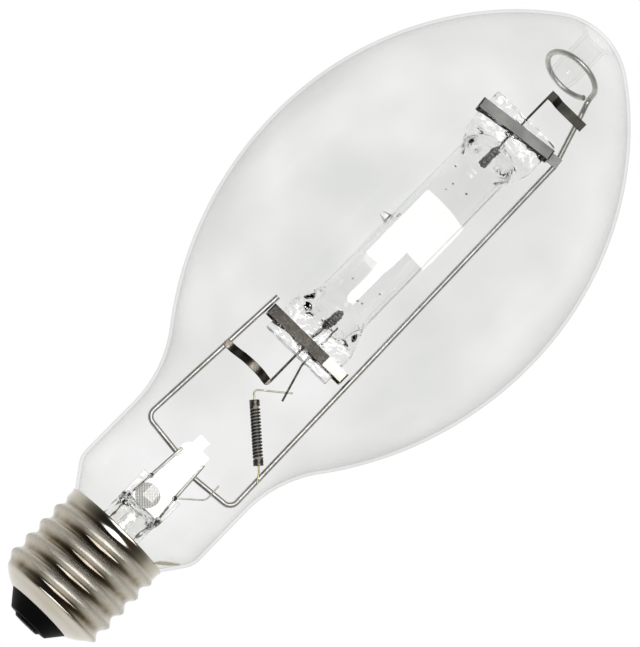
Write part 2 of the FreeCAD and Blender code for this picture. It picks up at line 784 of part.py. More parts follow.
def stem_shape():
    radius, thin = mm.stem_radius.value, mm.glass_wall.value
    half_x, half_y, x = mm.press_half_width.value, mm.press_half_thickness.value, mm.press_x.value
    low, high, flare, top = press_low.value, press_high.value, stem_flare_top.value, tube_top.value
    rim, seal = seal_radius.value, seal_height.value
    bore = radius - thin
    tube = turned_shape([(radius, top), (radius, flare), (rim - thin, seal), (rim, seal),
                         (rim, seal - thin), (rim - thin, seal - thin), (bore, flare - thin), (bore, top)])
    seam = mm.glass_gap.value
    root = flattened((radius - seam, radius - seam, ROUND, 0, top), (half_x, half_y, FLAT, x, low), 6)
    hollow = flattened((bore - seam, bore - seam, ROUND, 0, top),
                       (half_x - thin, half_y - thin, LENS, x, low - thin), 6, closing=True)
    press = straight((half_x, half_y, FLAT, x, low), high)
    exhaust_foot = Vector(0, 0, exhaust_low.value)
    exhaust = rod_between(exhaust_foot, Vector(0, 0, low), mm.exhaust_radius.value)
    exhaust = exhaust.fuse(Part.makeSphere(mm.exhaust_radius.value, exhaust_foot))
    exhaust_hole = rod_between(exhaust_foot, Vector(0, 0, low - 2 * thin), mm.exhaust_bore.value)
    glass = joined(root.cut(hollow), [tube, press, tongue_shape(), pad_shape(), exhaust])
    gap = mm.glass_gap.value
    cuts = [exhaust_hole]
    sides = ((left_low, left_high, left_below), (right_low, right_high, right_below))
    for low_end, high_end, below in sides:
        cuts.append(seal_wire(low_end, high_end, gap))
        cuts.append(rod_between(below, low_end, mm.knot_radius.value + gap))
    rods = ((mm.left_knot_high_x, mm.left_rod_top_x, left_rod_top),
            (mm.right_knot_high_x, mm.right_rod_top_x, right_rod_top))
    for foot_x, top_x, rod_top in rods:
        foot, end = Vector(foot_x.value, 0, high), Vector(top_x.value, 0, rod_top.value)
        cuts.append(rod_between(foot, end + (end - foot).normalize() * gap, mm.rod_radius.value + gap))
    return hollowed(glass, cuts)


shaped("glass_stem", stem_shape())
shaped("left_seal_wire", seal_wire(left_low, left_high))
shaped("right_seal_wire", seal_wire(right_low, right_high))

# Leads below the press, and the rods above it that carry the frame

knot_reach = mm.knot_radius + mm.weld_gap
lead_bend = mm.outer_lead_radius * 5
bent_wire("left_outer_lead", [
    (mm.left_knot_low_x, press_low - knot_reach),
    (mm.left_knot_high_x, lead_turn),
    (mm.left_knot_high_x, exhaust_low - mm.exhaust_radius * 2),
    (NOTHING, eyelet_top + mm.eyelet_radius),
    (NOTHING, mm.contact_height / 2 + mm.seat_gap),
], mm.outer_lead_radius, lead_bend, NOTHING)

bent_wire("left_lead_rod", [
    (mm.left_knot_high_x, press_high + knot_reach),
    (mm.left_rod_top_x, left_rod_top),
], mm.rod_radius, mm.frame_bend, NOTHING)
bent_wire("right_lead_rod", [
    (mm.right_knot_high_x, press_high + knot_reach),
    (mm.right_rod_top_x, right_rod_top),
], mm.rod_radius, mm.frame_bend, NOTHING)


def rounded_path(points, bend):
    """Straight runs joined by tangent arcs of one radius, as a list of edges."""
    edges, start = [], points[0]
    for before, corner, after in zip(points, points[1:], points[2:]):
        into, out = (corner - before).normalize(), (after - corner).normalize()
        turn = into.getAngle(out)
        reach = bend * math.tan(turn / 2)
        first, last = corner - into * reach, corner + out * reach
        middle = corner + (out - into).normalize() * (bend / math.cos(turn / 2) - bend)
        edges += [Part.makeLine(start, first), Part.Arc(first, middle, last).toShape()]
        start = last
    edges.append(Part.makeLine(start, points[-1]))
    return edges


def swept(edges, radius):
    """A round wire along joined edges."""
    first = edges[0]
    start, along = first.valueAt(first.FirstParameter), first.tangentAt(first.FirstParameter)
    ring = Part.Wire(Part.makeCircle(radius, start, along))
    return Part.Wire(edges).makePipeShell([ring], True, False)


side_turn = math.radians(mm.side_joint_angle.value)
side_reach = (seal_radius + cement_outside).value / 2
side_way = Vector(math.cos(side_turn), math.sin(side_turn), 0)
below_seal = (seal_height - mm.glass_wall * 3.5).value
shaped("right_outer_lead", swept(rounded_path([
    right_low - Vector(0, 0, knot_reach.value),
    right_below,
    Vector(lead_clear.value, 0, below_seal),
    side_way * side_reach + Vector(0, 0, below_seal),
    side_way * side_reach + Vector(0, 0, (thread_high + mm.glass_wall).value),
], lead_bend.value), mm.outer_lead_radius.value))

# Side joint: a drop of solder on the rim, with the lead's tinned tail along the glass

glass_at_rim = seal_radius + mm.shoulder_spread * mm.shoulder_depth
rim_clear = collar_radius + mm.rim_flare + mm.weld_gap
solder = Part.makeSphere(mm.solder_radius.value, side_way * rim_clear.value + Vector(0, 0, rim_height.value))
tail_slope = Vector(mm.shoulder_spread.value, 0, 1).normalize()
tail_way = Vector(side_way.x * tail_slope.x, side_way.y * tail_slope.x, tail_slope.z)
tail_start = side_way * (glass_at_rim + mm.tail_foot_radius * 0.75).value + Vector(
    0, 0, (rim_height + mm.tail_foot_radius / 4).value)
solder = solder.fuse(Part.makeCone(mm.tail_foot_radius.value, mm.tail_tip_radius.value, mm.solder_tail.value,
                                   tail_start, tail_way))
sunk = mm.solder_radius.value * 2
below_rim = Part.makeCylinder(rim_clear.value, sunk, Vector(0, 0, (rim_height + mm.weld_gap).value - sunk))
glass_clear = mm.glass_gap.value * 1.6
glass_cone = Part.makeCone(glass_at_rim.value + glass_clear, mm.neck_radius.value + glass_clear,
                           (shoulder_high - rim_height).value, Vector(0, 0, rim_height.value))
shaped("side_solder", solder.cut([below_rim, glass_cone]))

# Frame: two bent nickel-plated wires behind the lead rods

frame_y = mm.rod_radius + mm.frame_wire_radius + mm.weld_gap
bent_wire("short_frame_wire", [
    (mm.short_foot_x, press_high + mm.short_foot_rise),
    (short_corner_x, short_corner_height),
    (short_top_x, short_top_height),
], mm.frame_wire_radius, mm.frame_bend, frame_y)


loop_height = dimple_low + mm.loop_rise


def long_frame_path():
    """From the right rod out to the side, up past the arc tube, and once round the bulb's dimple."""
    y = frame_y.value
    lean = math.radians(mm.loop_lean.value)
    centre = Vector(mm.loop_x.value, 0, loop_height.value)
    side = Vector(1, 0, 0)
    front = Vector(0, -math.cos(lean), math.sin(lean))
    radius = mm.loop_radius.value
    bend = mm.frame_bend.value
    corner = centre + side * radius - front * (bend + mm.loop_leg.value)
    elbow = Vector(long_elbow_x.value, y, long_elbow_height.value)
    joint = corner.z - mm.loop_joint.value
    share = (joint - elbow.z) / (corner.z - elbow.z)
    edges = rounded_path([
        Vector(mm.long_foot_x.value, y, long_foot_height.value),
        Vector(long_corner_x.value, y, long_corner_height.value),
        elbow,
        Vector(elbow.x + (corner.x - elbow.x) * share, y, joint),
        corner,
        centre + side * radius,
    ], bend)
    turns = [math.radians(mm.loop_sweep.value) * share for share in (0, 0.25, 0.5, 0.75, 1)]
    places = [centre + side * (radius * math.cos(a)) + front * (radius * math.sin(a)) for a in turns]
    edges.append(Part.Arc(*places[:3]).toShape())
    edges.append(Part.Arc(*places[2:]).toShape())
    return edges


shaped("long_frame_wire", swept(long_frame_path(), mm.frame_wire_radius.value))

jumper_y = frame_y - mm.frame_wire_radius - mm.jumper_radius - mm.weld_gap
jumper_x = (mm.right_knot_high_x + long_corner_x) / 2
bent_wire("stem_jumper", [
    (mm.right_knot_high_x + mm.rod_radius + mm.jumper_radius + mm.weld_gap, press_high + mm.knot_radius),
    (jumper_x, long_foot_height - mm.jumper_drop),
    (jumper_x - mm.jumper_radius, long_corner_height + mm.jumper_rise),
], mm.jumper_radius, mm.frame_bend, jumper_y)

# Arc tube: a quartz tube pinched flat at both ends round its foils

def from_middle(share, low):
    """A height given as a distance from the arc tube's middle, towards the base or towards the dome."""
    return tube_middle - share if low else tube_middle + share


def arc_tube_shape():
    radius, x, middle = mm.tube_radius.value, mm.tube_x.value, tube_middle.value
    end, inner, tube = mm.tube_half_length.value, pinch_inner.value, tube_end.value
    half_x, half_y = mm.pinch_half_width.value, mm.pinch_half_thickness.value
    bore, cavity, thin = radius - mm.tube_wall.value, cavity_end.value, mm.tube_wall.value
    straight_bore = tube - thin * 1.5
    pieces = [straight((radius, radius, ROUND, x, middle - tube), middle + tube)]
    hollows = [straight((bore, bore, ROUND, x, middle - straight_bore), middle + straight_bore)]
    for side in (-1, 1):
        round_end = (radius, radius, ROUND, x, middle + side * tube)
        flat_start = (half_x, half_y, FLAT, x, middle + side * inner)
        pieces.append(flattened(round_end, flat_start, 8))
        pieces.append(straight(flat_start, middle + side * end))
        hollows.append(flattened((bore, bore, ROUND, x, middle + side * straight_bore),
                                 (bore * 1.05, half_y * 0.6, ROUND, x, middle + side * cavity), 8, closing=True))
    tip_foot = Vector(x - radius + thin / 4, 0, middle - mm.tip_drop.value)
    tip_off = Part.makeCone(mm.tip_radius.value, mm.tip_end_radius.value, mm.tip_length.value, tip_foot,
                            Vector(-1, 0, 0))
    return hollowed(joined(pieces[0], pieces[1:] + [tip_off]), hollows + seal_cuts)


foil_y = mm.electrode_rod_radius + mm.weld_gap / 2
gap = mm.glass_gap.value
seal_cuts = []


def foil(name, x, low, half_width):
    """A molybdenum foil behind the wires that it joins inside a pinch."""
    height = foil_outer - foil_inner
    piece = primitive("Part::Box", name, Length=half_width * 2, Width=mm.foil_thickness, Height=height)
    bottom = from_middle(foil_outer, True) if low else from_middle(foil_inner, False)
    stand(piece, x - half_width, foil_y, bottom)
    start = Vector((x - half_width).value - gap, foil_y.value - gap, bottom.value - gap)
    seal_cuts.append(Part.makeBox(half_width.value * 2 + 2 * gap, mm.foil_thickness.value + 2 * gap,
                                  height.value + 2 * gap, start))


foil("lower_foil", mm.tube_x, True, mm.foil_half_width)
foil("upper_foil", mm.tube_x, False, mm.foil_half_width)
starter_x = mm.tube_x + mm.starter_shift
foil("starter_foil", starter_x, True, mm.foil_half_width / 3)


def electrode(name, low):
    """A tungsten rod with a tungsten coil near its tip, leaning a little in its pinch."""
    rod = primitive("Part::Cylinder", name + "_rod", Radius=mm.electrode_rod_radius,
                    Height=mm.electrode_length)
    start = mm.electrode_rod_radius + mm.electrode_wire_radius + mm.weld_gap
    half = mm.electrode_wire_radius * 0.88
    foot = mm.coil_start
    winding = coil(name + "_coil", [(start - half, foot - half), (start + half, foot - half),
                                    (start + half, foot + half), (start - half, foot + half)],
                   mm.coil_pitch, mm.coil_length)
    lean = mm.electrode_lean.value if low else 180 - mm.electrode_lean.value
    place = Vector((mm.tube_x - mm.electrode_shift).value, 0, from_middle(electrode_foot, low).value)
    placed = Placement(place, Rotation(Vector(0, 1, 0), lean))
    rod.Placement = placed
    winding.Placement = placed
    hole = Part.makeCylinder(mm.electrode_rod_radius.value + gap, mm.electrode_length.value,
                             Vector(0, 0, -gap))
    hole.Placement = placed
    seal_cuts.append(hole)
    coil_room = Part.makeCylinder((start + half).value + gap, (mm.coil_length + half * 2).value,
                                  Vector(0, 0, (foot - half * 1.5).value))
    coil_room.Placement = placed
    seal_cuts.append(coil_room)


electrode("lower_electrode", True)
electrode("upper_electrode", False)

probe = primitive("Part::Cylinder", "starting_probe", Radius=mm.probe_radius, Height=mm.probe_length)
stand(probe, starter_x, NOTHING, from_middle(electrode_foot, True))
lead_inner = foil_outer - mm.foil_lap
lower_lead = primitive("Part::Cylinder", "lower_lead", Radius=mm.main_lead_radius,
                       Height=from_middle(lead_inner, True) - lower_lead_low)
stand(lower_lead, mm.tube_x, NOTHING, lower_lead_low)
upper_lead = primitive("Part::Cylinder", "upper_lead", Radius=mm.main_lead_radius,
                       Height=upper_lead_high - from_middle(lead_inner, False))
stand(upper_lead, mm.tube_x, NOTHING, from_middle(lead_inner, False))

resistor_y = frame_y - mm.frame_wire_radius - mm.resistor_lead_radius - mm.weld_gap
starter_top = Vector(starter_x.value, 0, from_middle(lead_inner, True).value)
starter_exit_height = from_middle(mm.tube_half_length + mm.starter_lead_radius * 3, True)
starter_exit = Vector(starter_x.value, 0, starter_exit_height.value)
starter_y = (resistor_y - mm.resistor_lead_radius - mm.starter_lead_radius - mm.weld_gap).value
starter_low = starter_exit + Vector(mm.starter_lead_run.value, starter_y - mm.starter_lead_radius.value,
                                    -mm.starter_lead_drop.value)
starter_path = rounded_path([starter_top, starter_exit, starter_low], mm.starter_lead_bend.value)
shaped("starter_lead", swept(starter_path, mm.starter_lead_radius.value))

for x, low, length, radius in (
        (starter_x, from_middle(electrode_foot, True), mm.probe_length, mm.probe_radius),
        (mm.tube_x, lower_lead_low, from_middle(lead_inner, True) - lower_lead_low, mm.main_lead_radius),
        (mm.tube_x, from_middle(lead_inner, False), upper_lead_high - from_middle(lead_inner, False),
         mm.main_lead_radius),
        (starter_x, from_middle(foil_outer + mm.foil_inset * 2, True), mm.foil_inset * 2 + mm.foil_lap,
         mm.starter_lead_radius)):
    seal_cuts.append(Part.makeCylinder(radius.value + gap, length.value + gap,
                                       Vector(x.value, 0, low.value - gap / 2)))
shaped("arc_tube", arc_tube_shape())

# Straps: a band folded round each pinch and welded to a frame wire

strap_inside_y = mm.pinch_half_thickness + mm.seat_gap
strap_outside_y = strap_inside_y + mm.strap_thickness
strap_corner = mm.strap_thickness * 1.6
tab_front = frame_y - mm.frame_wire_radius - mm.weld_gap - mm.strap_thickness


def strap(name, centre_x, half_length, low, tab_end=None):
    """A closed flat band, with a welding tab towards +X where tab_end is given."""
    body = new_body(name)
    sketch = new_sketch(body, name + "_plan", "XY_Plane", -mm.strap_width / 2)
    right, left = half_length, -half_length
    corners = [(left, -strap_outside_y, strap_corner), (right, -strap_outside_y, strap_corner)]
    if tab_end is not None:
        corners += [(right, tab_front), (tab_end, tab_front), (tab_end, tab_front + mm.strap_thickness),
                    (right, tab_front + mm.strap_thickness)]
    corners += [(right, strap_outside_y, strap_corner), (left, strap_outside_y, strap_corner)]
    draw_outline(sketch, corners)
    inner_x = half_length - mm.strap_thickness
    fold = strap_corner - mm.strap_thickness
    draw_outline(sketch, [(-inner_x, -strap_inside_y, fold), (inner_x, -strap_inside_y, fold),
                          (inner_x, strap_inside_y, fold), (-inner_x, strap_inside_y, fold)])
    pad = body.newObject("PartDesign::Pad", name + "_band")
    pad.Profile = sketch
    pad.setExpression("Length", mm.strap_width.text)
    stand(body, centre_x, NOTHING, from_middle(strap_offset, low))
    return body


strap("lower_strap", lower_strap_x, lower_strap_half_length, True)
tab_end = long_elbow_x - upper_strap_x + mm.strap_tab_reach
upper_strap = strap("upper_strap", upper_strap_x, upper_strap_half_length, False, tab_end)
upper_strap.Placement.Rotation = Rotation(Vector(0, 1, 0), -mm.upper_strap_lean.value)

# Connections: ribbons from the leads to the frame, and the starting resistor

ribbon_y = frame_y - mm.frame_wire_radius - mm.weld_gap - mm.ribbon_thickness / 2
lead_front = -mm.main_lead_radius - mm.weld_gap - mm.ribbon_thickness / 2
rise = (ribbon_height - short_corner_height) / (short_top_height - short_corner_height)
short_x = short_corner_x + (short_top_x - short_corner_x) * rise
ribbon("lower_ribbon", [
    (short_x - mm.frame_wire_radius, ribbon_y),
    (short_x + mm.ribbon_weld, ribbon_y),
    (short_x + mm.ribbon_weld + mm.ribbon_cross, lead_front - mm.ribbon_bow),
    (mm.tube_x - mm.ribbon_lap - mm.ribbon_turn, lead_front - mm.ribbon_bow),
    (mm.tube_x - mm.ribbon_lap, lead_front),
    (mm.tube_x + mm.main_lead_radius, lead_front),
], ribbon_height - mm.ribbon_width / 2, mm.ribbon_width, mm.ribbon_thickness, mm.ribbon_width / 2)

slope = (mm.loop_x + mm.loop_radius - long_elbow_x) / (loop_height - long_elbow_height)
flag_x = long_elbow_x + slope * (flag_height - long_elbow_height)
ribbon("upper_flag", [
    (mm.tube_x - mm.main_lead_radius, lead_front),
    (mm.tube_x + mm.flag_lap, lead_front),
    (mm.tube_x + mm.flag_lap * 2, ribbon_y),
    (flag_x + mm.flag_overhang, ribbon_y),
], flag_height - mm.flag_width / 2, mm.flag_width, mm.ribbon_thickness, mm.ribbon_width / 2)

resistor_top = Vector(resistor_top_x.value, resistor_y.value, resistor_top_height.value)
resistor_low = Vector(resistor_low_x.value, resistor_y.value, resistor_low_height.value)
resistor_length = ((resistor_low_x - resistor_top_x) * (resistor_low_x - resistor_top_x)
                   + (resistor_top_height - resistor_low_height)
                   * (resistor_top_height - resistor_low_height)).root()
along_resistor = Placement(resistor_low, Rotation(Vector(0, 0, 1), resistor_top - resistor_low))
core_end = mm.cap_length / 2


def resistor_cap(name, low):
    """A pressed cup over one end of the ceramic core."""
    inner = mm.core_radius + mm.weld_gap
    ends = (NOTHING, core_end - mm.weld_gap, mm.cap_length)
    if not low:
        ends = tuple(resistor_length - end for end in ends)
    return turned(name, [(NOTHING, ends[0]), (mm.cap_radius, ends[0]), (mm.cap_radius, ends[2]),
                         (inner, ends[2]), (inner, ends[1]), (NOTHING, ends[1])])


winding_inside = mm.core_radius + mm.weld_gap
winding_foot = mm.cap_length + mm.weld_gap + mm.winding_width / 2
winding_height = resistor_length - winding_foot * 2
half_width = mm.winding_width / 2
for piece in (
        primitive("Part::Cylinder", "resistor_core", Radius=mm.core_radius,
                  Height=resistor_length - core_end * 2),
        resistor_cap("resistor_bottom_cap", True),
        resistor_cap("resistor_top_cap", False),
        coil("resistor_winding", [
            (winding_inside, winding_foot - half_width),
            (winding_inside + mm.winding_depth, winding_foot - half_width),
            (winding_inside + mm.winding_depth, winding_foot + half_width),
            (winding_inside, winding_foot + half_width)], mm.winding_pitch, winding_height)):
    piece.Placement = along_resistor
    if piece.Name == "resistor_core":
        piece.Placement = along_resistor.multiply(Placement(Vector(0, 0, core_end.value), Rotation()))

resistor_way = (resistor_top - resistor_low).normalize()
end_gap = resistor_way * mm.weld_gap.value
shaped("resistor_top_lead", swept(rounded_path([
    resistor_top + end_gap,
    resistor_top + resistor_way * mm.resistor_top_run.value,
    Vector(starter_exit.x + mm.resistor_cross_run.value, resistor_y.value,
           starter_exit.z - mm.resistor_cross_drop.value),
], mm.resistor_lead_bend.value), mm.resistor_lead_radius.value))
shaped("resistor_bottom_lead", swept(rounded_path([
    resistor_low - end_gap,
    resistor_low - resistor_way * mm.resistor_low_run.value,
    Vector((long_corner_x + mm.frame_wire_radius / 2).value, resistor_y.value,
           (resistor_low_height - mm.resistor_hook_drop).value),
], mm.resistor_lead_bend.value), mm.resistor_lead_radius.value))

# Checks and files: every object recomputed, every node a valid shape in its own file

doc.recompute()
for item in doc.Objects:
    if "Invalid" in item.State or "Error" in item.State:
        raise RuntimeError(f"{item.Name} did not build: {item.State}")
nodes = [item for item in doc.Objects if item.Name == item.Label and hasattr(item, "Shape")
         and item.TypeId in ("PartDesign::Body", "Part::Feature", "Part::Box", "Part::Cylinder")]
os.makedirs("parts", exist_ok=True)
for node in nodes:
    if node.Shape.isNull() or not node.Shape.isValid() or not node.Shape.Solids:
        raise RuntimeError(f"{node.Label} has no valid solid")
for node in nodes:
    node.Shape.exportStep(f"parts/{node.Label}.step")
print(len(nodes), "nodes")
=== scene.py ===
import bpy
import numpy as np
from mathutils import Matrix


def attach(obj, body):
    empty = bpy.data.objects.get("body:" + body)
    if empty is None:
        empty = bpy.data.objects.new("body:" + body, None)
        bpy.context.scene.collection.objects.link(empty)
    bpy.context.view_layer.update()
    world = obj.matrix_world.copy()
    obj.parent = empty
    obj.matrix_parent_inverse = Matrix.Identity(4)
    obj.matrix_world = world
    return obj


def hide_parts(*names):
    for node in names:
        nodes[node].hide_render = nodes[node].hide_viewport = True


# A clear mercury vapour discharge lamp with a mogul screw base, standing upright on its centre contact.
# Each section below dresses or rebuilds one piece of it, from the base upwards, and the last ones
# light the lamp and place the camera as in the photograph.

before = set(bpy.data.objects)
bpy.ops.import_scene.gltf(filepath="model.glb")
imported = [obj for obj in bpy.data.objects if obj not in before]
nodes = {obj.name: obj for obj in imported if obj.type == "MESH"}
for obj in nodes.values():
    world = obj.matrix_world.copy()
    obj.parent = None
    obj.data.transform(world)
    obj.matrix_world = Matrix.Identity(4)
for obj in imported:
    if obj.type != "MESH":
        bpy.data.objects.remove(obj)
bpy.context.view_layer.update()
MM = 0.001

# Centre contact: a low brass button, blackened by the lampholder's spring.
# It is dressed first, so the ways of writing a colour and a material are defined here.


def linear(hex_colour):
    """An sRGB hex colour as linear values: c / 12.92 up to 0.04045, ((c + 0.055) / 1.055)^2.4 above."""
    channels = np.array([int(hex_colour[k:k + 2], 16) for k in (1, 3, 5)]) / 255
    steep = ((channels + 0.055) / 1.055) ** 2.4
    return tuple(float(value) for value in np.where(channels > 0.04045, steep, channels / 12.92)) + (1.0,)


def add_node(tree, kind, inputs=None, **settings):
    """Adds one node. Its inputs are values, or the sockets of other nodes that they are linked to."""
    made = tree.nodes.new(kind)
    for name, value in settings.items():
        setattr(made, name, value)
    for name, value in (inputs or {}).items():
        if isinstance(value, bpy.types.NodeSocket):
            tree.links.new(value, made.inputs[name])
        else:
            made.inputs[name].default_value = value
    return made


def new_material(name):
    """An empty node material: the material, its tree, its output and the object coordinates."""
    material = bpy.data.materials.new(name)
    material.use_nodes = True
    tree = material.node_tree
    tree.nodes.clear()
    output = add_node(tree, "ShaderNodeOutputMaterial")
    return material, tree, output, add_node(tree, "ShaderNodeTexCoord").outputs["Object"]


def between(tree, value, low, high, start=0.0, end=1.0):
    """The output start where a value is low, end where it is high, and in proportion between them."""
    return add_node(tree, "ShaderNodeMapRange", {"Value": value, "From Min": low, "From Max": high,
                                                 "To Min": start, "To Max": end}).outputs["Result"]


def blend(tree, factor, first, second):
    """A colour that goes from the first to the second."""
    return add_node(tree, "ShaderNodeMix", {"Factor": factor, 6: first, 7: second},
                    data_type="RGBA").outputs[2]


def worn_metal(name, bright, dull, roughness, cloud, grain, bump, metallic=1.0):
    """Metal in two tones that drift in clouds of one size, with a finer grain in its polish and surface.
    Where it is oxidised or matt it is less than fully metallic."""
    material, tree, output, place = new_material(name)
    clouds = add_node(tree, "ShaderNodeTexNoise", {"Vector": place, "Scale": 1 / cloud, "Detail": 3.0})
    fine = add_node(tree, "ShaderNodeTexNoise", {"Vector": place, "Scale": 1 / grain, "Detail": 2.0})
    tone = blend(tree, between(tree, clouds.outputs["Fac"], 0.35, 0.65), linear(dull), linear(bright))
    polish = between(tree, fine.outputs["Fac"], 0.3, 0.7, roughness * 0.85, roughness * 1.15)
    relief = add_node(tree, "ShaderNodeBump", {"Height": fine.outputs["Fac"], "Strength": bump,
                                               "Distance": grain})
    shader = add_node(tree, "ShaderNodeBsdfPrincipled", {
        "Base Color": tone, "Metallic": metallic, "Roughness": polish, "Normal": relief.outputs["Normal"]})
    tree.links.new(shader.outputs["BSDF"], output.inputs["Surface"])
    return material


def dress(material, *names):
    """Gives CAD nodes one material all over."""
    for name in names:
        mesh = nodes[name].data
        mesh.materials.clear()
        mesh.materials.append(material)
        mesh.polygons.foreach_set("material_index", np.zeros(len(mesh.polygons), dtype=np.int32))


dress(worn_metal("blackened_contact_brass", "#24211e", "#12110f", 0.6, 2 * MM, 0.4 * MM, 0.15),
      "centre_contact")

# Base insulator: black glass moulded hot between the contact and the shell. Its cone is dulled by handling,
# with faint ripples where it froze against the mould.

RIPPLES_PER_METRE = 260.0
black_glass, tree, output, place = new_material("black_insulator_glass")
ripple = add_node(tree, "ShaderNodeTexNoise", {
    "Vector": place, "Scale": RIPPLES_PER_METRE, "Detail": 1.5})
relief = add_node(tree, "ShaderNodeBump", {"Height": ripple.outputs["Fac"], "Strength": 0.2,
                                           "Distance": 0.4 * MM})
shader = add_node(tree, "ShaderNodeBsdfPrincipled", {
    "Base Color": linear("#040405"), "Roughness": between(tree, ripple.outputs["Fac"], 0.0, 1.0, 0.4, 0.6),
    "IOR": 1.5, "Specular IOR Level": 0.06, "Normal": relief.outputs["Normal"]})
tree.links.new(shader.outputs["BSDF"], output.inputs["Surface"])
dress(black_glass, "base_insulator")

# Screw shell: thin brass sheet, rolled with the mogul thread and nickel plated. It starts at a turned-in
# lip round the insulator. Lampholders have scuffed its crests, and its valleys are polished and tarnished.


def reach(name, axis):
    """The lowest and the highest coordinate of a CAD node along one axis."""
    places = np.empty(len(nodes[name].data.vertices) * 3, dtype=np.float32)
    nodes[name].data.vertices.foreach_get("co", places)
    along = places.reshape(-1, 3)[:, axis]
    return float(along.min()), float(along.max())


SHELL_WALL = 0.35 * MM
LIP_HEIGHT, RIM_HEIGHT = reach("screw_shell", 2)
LIP_RADIUS, THREAD_ROOT, COLLAR_RADIUS = 11.65 * MM, 17.85 * MM, 18.9 * MM
THREAD_DEPTH, THREAD_PITCH, RUN_OUT, RIM_FLARE = 1.65 * MM, 6.35 * MM, 3.2 * MM, 0.3 * MM
FIRST_CREST = LIP_HEIGHT + 5.0 * MM
THREAD_LOW = LIP_HEIGHT + 5.75 * MM
THREAD_HIGH = THREAD_LOW + 24.0 * MM


def eased(value, low, high):
    """Rises from 0 at low to 1 at high as 3s^2 - 2s^3."""
    share = np.clip((value - low) / (high - low), 0, 1)
    return share * share * (3 - 2 * share)


def thread_share(z):
    """How deep the thread is at a height: it runs in at the lip and out at the collar."""
    return eased(z, THREAD_LOW - RUN_OUT, THREAD_LOW) * (1 - eased(z, THREAD_HIGH, THREAD_HIGH + RUN_OUT))


def crest_share(z, turn):
    """1 on the crests and 0 in the valleys: (1 + cos(2 pi z / pitch - turn)) / 2."""
    return (1 + np.cos(2 * np.pi * (z - FIRST_CREST) / THREAD_PITCH - turn)) / 2


def shell_radius(z, turn):
    """The plain shell's radius at a height, plus the thread's depth on its crests."""
    lip_share = np.minimum((z - LIP_HEIGHT) / (THREAD_LOW - LIP_HEIGHT), 1)
    plain = LIP_RADIUS + (THREAD_ROOT - LIP_RADIUS) * (1 - (1 - lip_share) ** 2)
    plain = plain + (COLLAR_RADIUS - THREAD_ROOT) * eased(z, THREAD_HIGH, THREAD_HIGH + RUN_OUT)
    rim = RIM_FLARE * eased(z, RIM_HEIGHT - 3 * RIM_FLARE, RIM_HEIGHT)
    return plain + rim + THREAD_DEPTH * thread_share(z) * crest_share(z, turn)


def mesh_piece(name, points, face_sets, material, slot):
    """A smooth mesh from points and sets of faces, each an array of corner numbers. It rides on the lamp.
    Its slot argument is not used."""
    corners = np.concatenate([faces.ravel() for faces in face_sets])
    sizes = np.concatenate([np.full(len(faces), faces.shape[1]) for faces in face_sets])
    mesh = bpy.data.meshes.new(name)
    mesh.vertices.add(len(points))
    mesh.vertices.foreach_set("co", np.asarray(points, dtype=np.float32).ravel())
    mesh.loops.add(len(corners))
    mesh.loops.foreach_set("vertex_index", corners.astype(np.int32))
    mesh.polygons.add(len(sizes))
    mesh.polygons.foreach_set("loop_start", (np.cumsum(sizes) - sizes).astype(np.int32))
    mesh.polygons.foreach_set("use_smooth", np.ones(len(sizes), dtype=bool))
    mesh.update(calc_edges=True)
    mesh.validate()
    mesh.materials.append(material)
    piece = bpy.data.objects.new(name, mesh)
    bpy.context.scene.collection.objects.link(piece)
    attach(piece, "root")
    return piece


def point_values(piece, name, values):
    """Keeps one number for each point of a piece, for its material to read."""
    kept = piece.data.attributes.new(name, "FLOAT", "POINT")
    kept.data.foreach_set("value", values.astype(np.float32).ravel())


def grid_faces(rows, columns, closed_rows=False):
    """Quads between the neighbours of a grid of points stored row by row. Each row is a closed ring, and
    the last row joins the first where the rows are closed too."""
    i, j = np.meshgrid(np.arange(rows if closed_rows else rows - 1), np.arange(columns), indexing="ij")
    i_next, j_next = (i + 1) % rows, (j + 1) % columns
    corners = (i * columns + j, i * columns + j_next, i_next * columns + j_next, i_next * columns + j)
    return np.stack(corners, -1).reshape(-1, 4)


# The wall has an outer and an inner face: the inner one is moved in by the wall, square to the slope.
SHELL_ROWS, SHELL_COLUMNS, SLOPE_STEP = 150, 192, 0.01 * MM
turn = np.linspace(0, 2 * np.pi, SHELL_COLUMNS, endpoint=False)[None, :]
height = np.linspace(LIP_HEIGHT, RIM_HEIGHT, SHELL_ROWS)[:, None]
outside = shell_radius(height, turn)
rise = shell_radius(height + SLOPE_STEP, turn) - shell_radius(height - SLOPE_STEP, turn)
steepness = rise / (2 * SLOPE_STEP)
steepness[[0, -1]] = 0
length = np.hypot(1, steepness)
inside, inside_height = outside - SHELL_WALL / length, height + SHELL_WALL * steepness / length
radius = np.concatenate([inside[::-1], outside])
level = np.concatenate([inside_height[::-1], np.broadcast_to(height, outside.shape)])
points = np.stack([radius * np.cos(turn), radius * np.sin(turn), level], -1).reshape(-1, 3)
wear = thread_share(height) * crest_share(height, turn)
hollow = thread_share(height) * (1 - crest_share(height, turn))

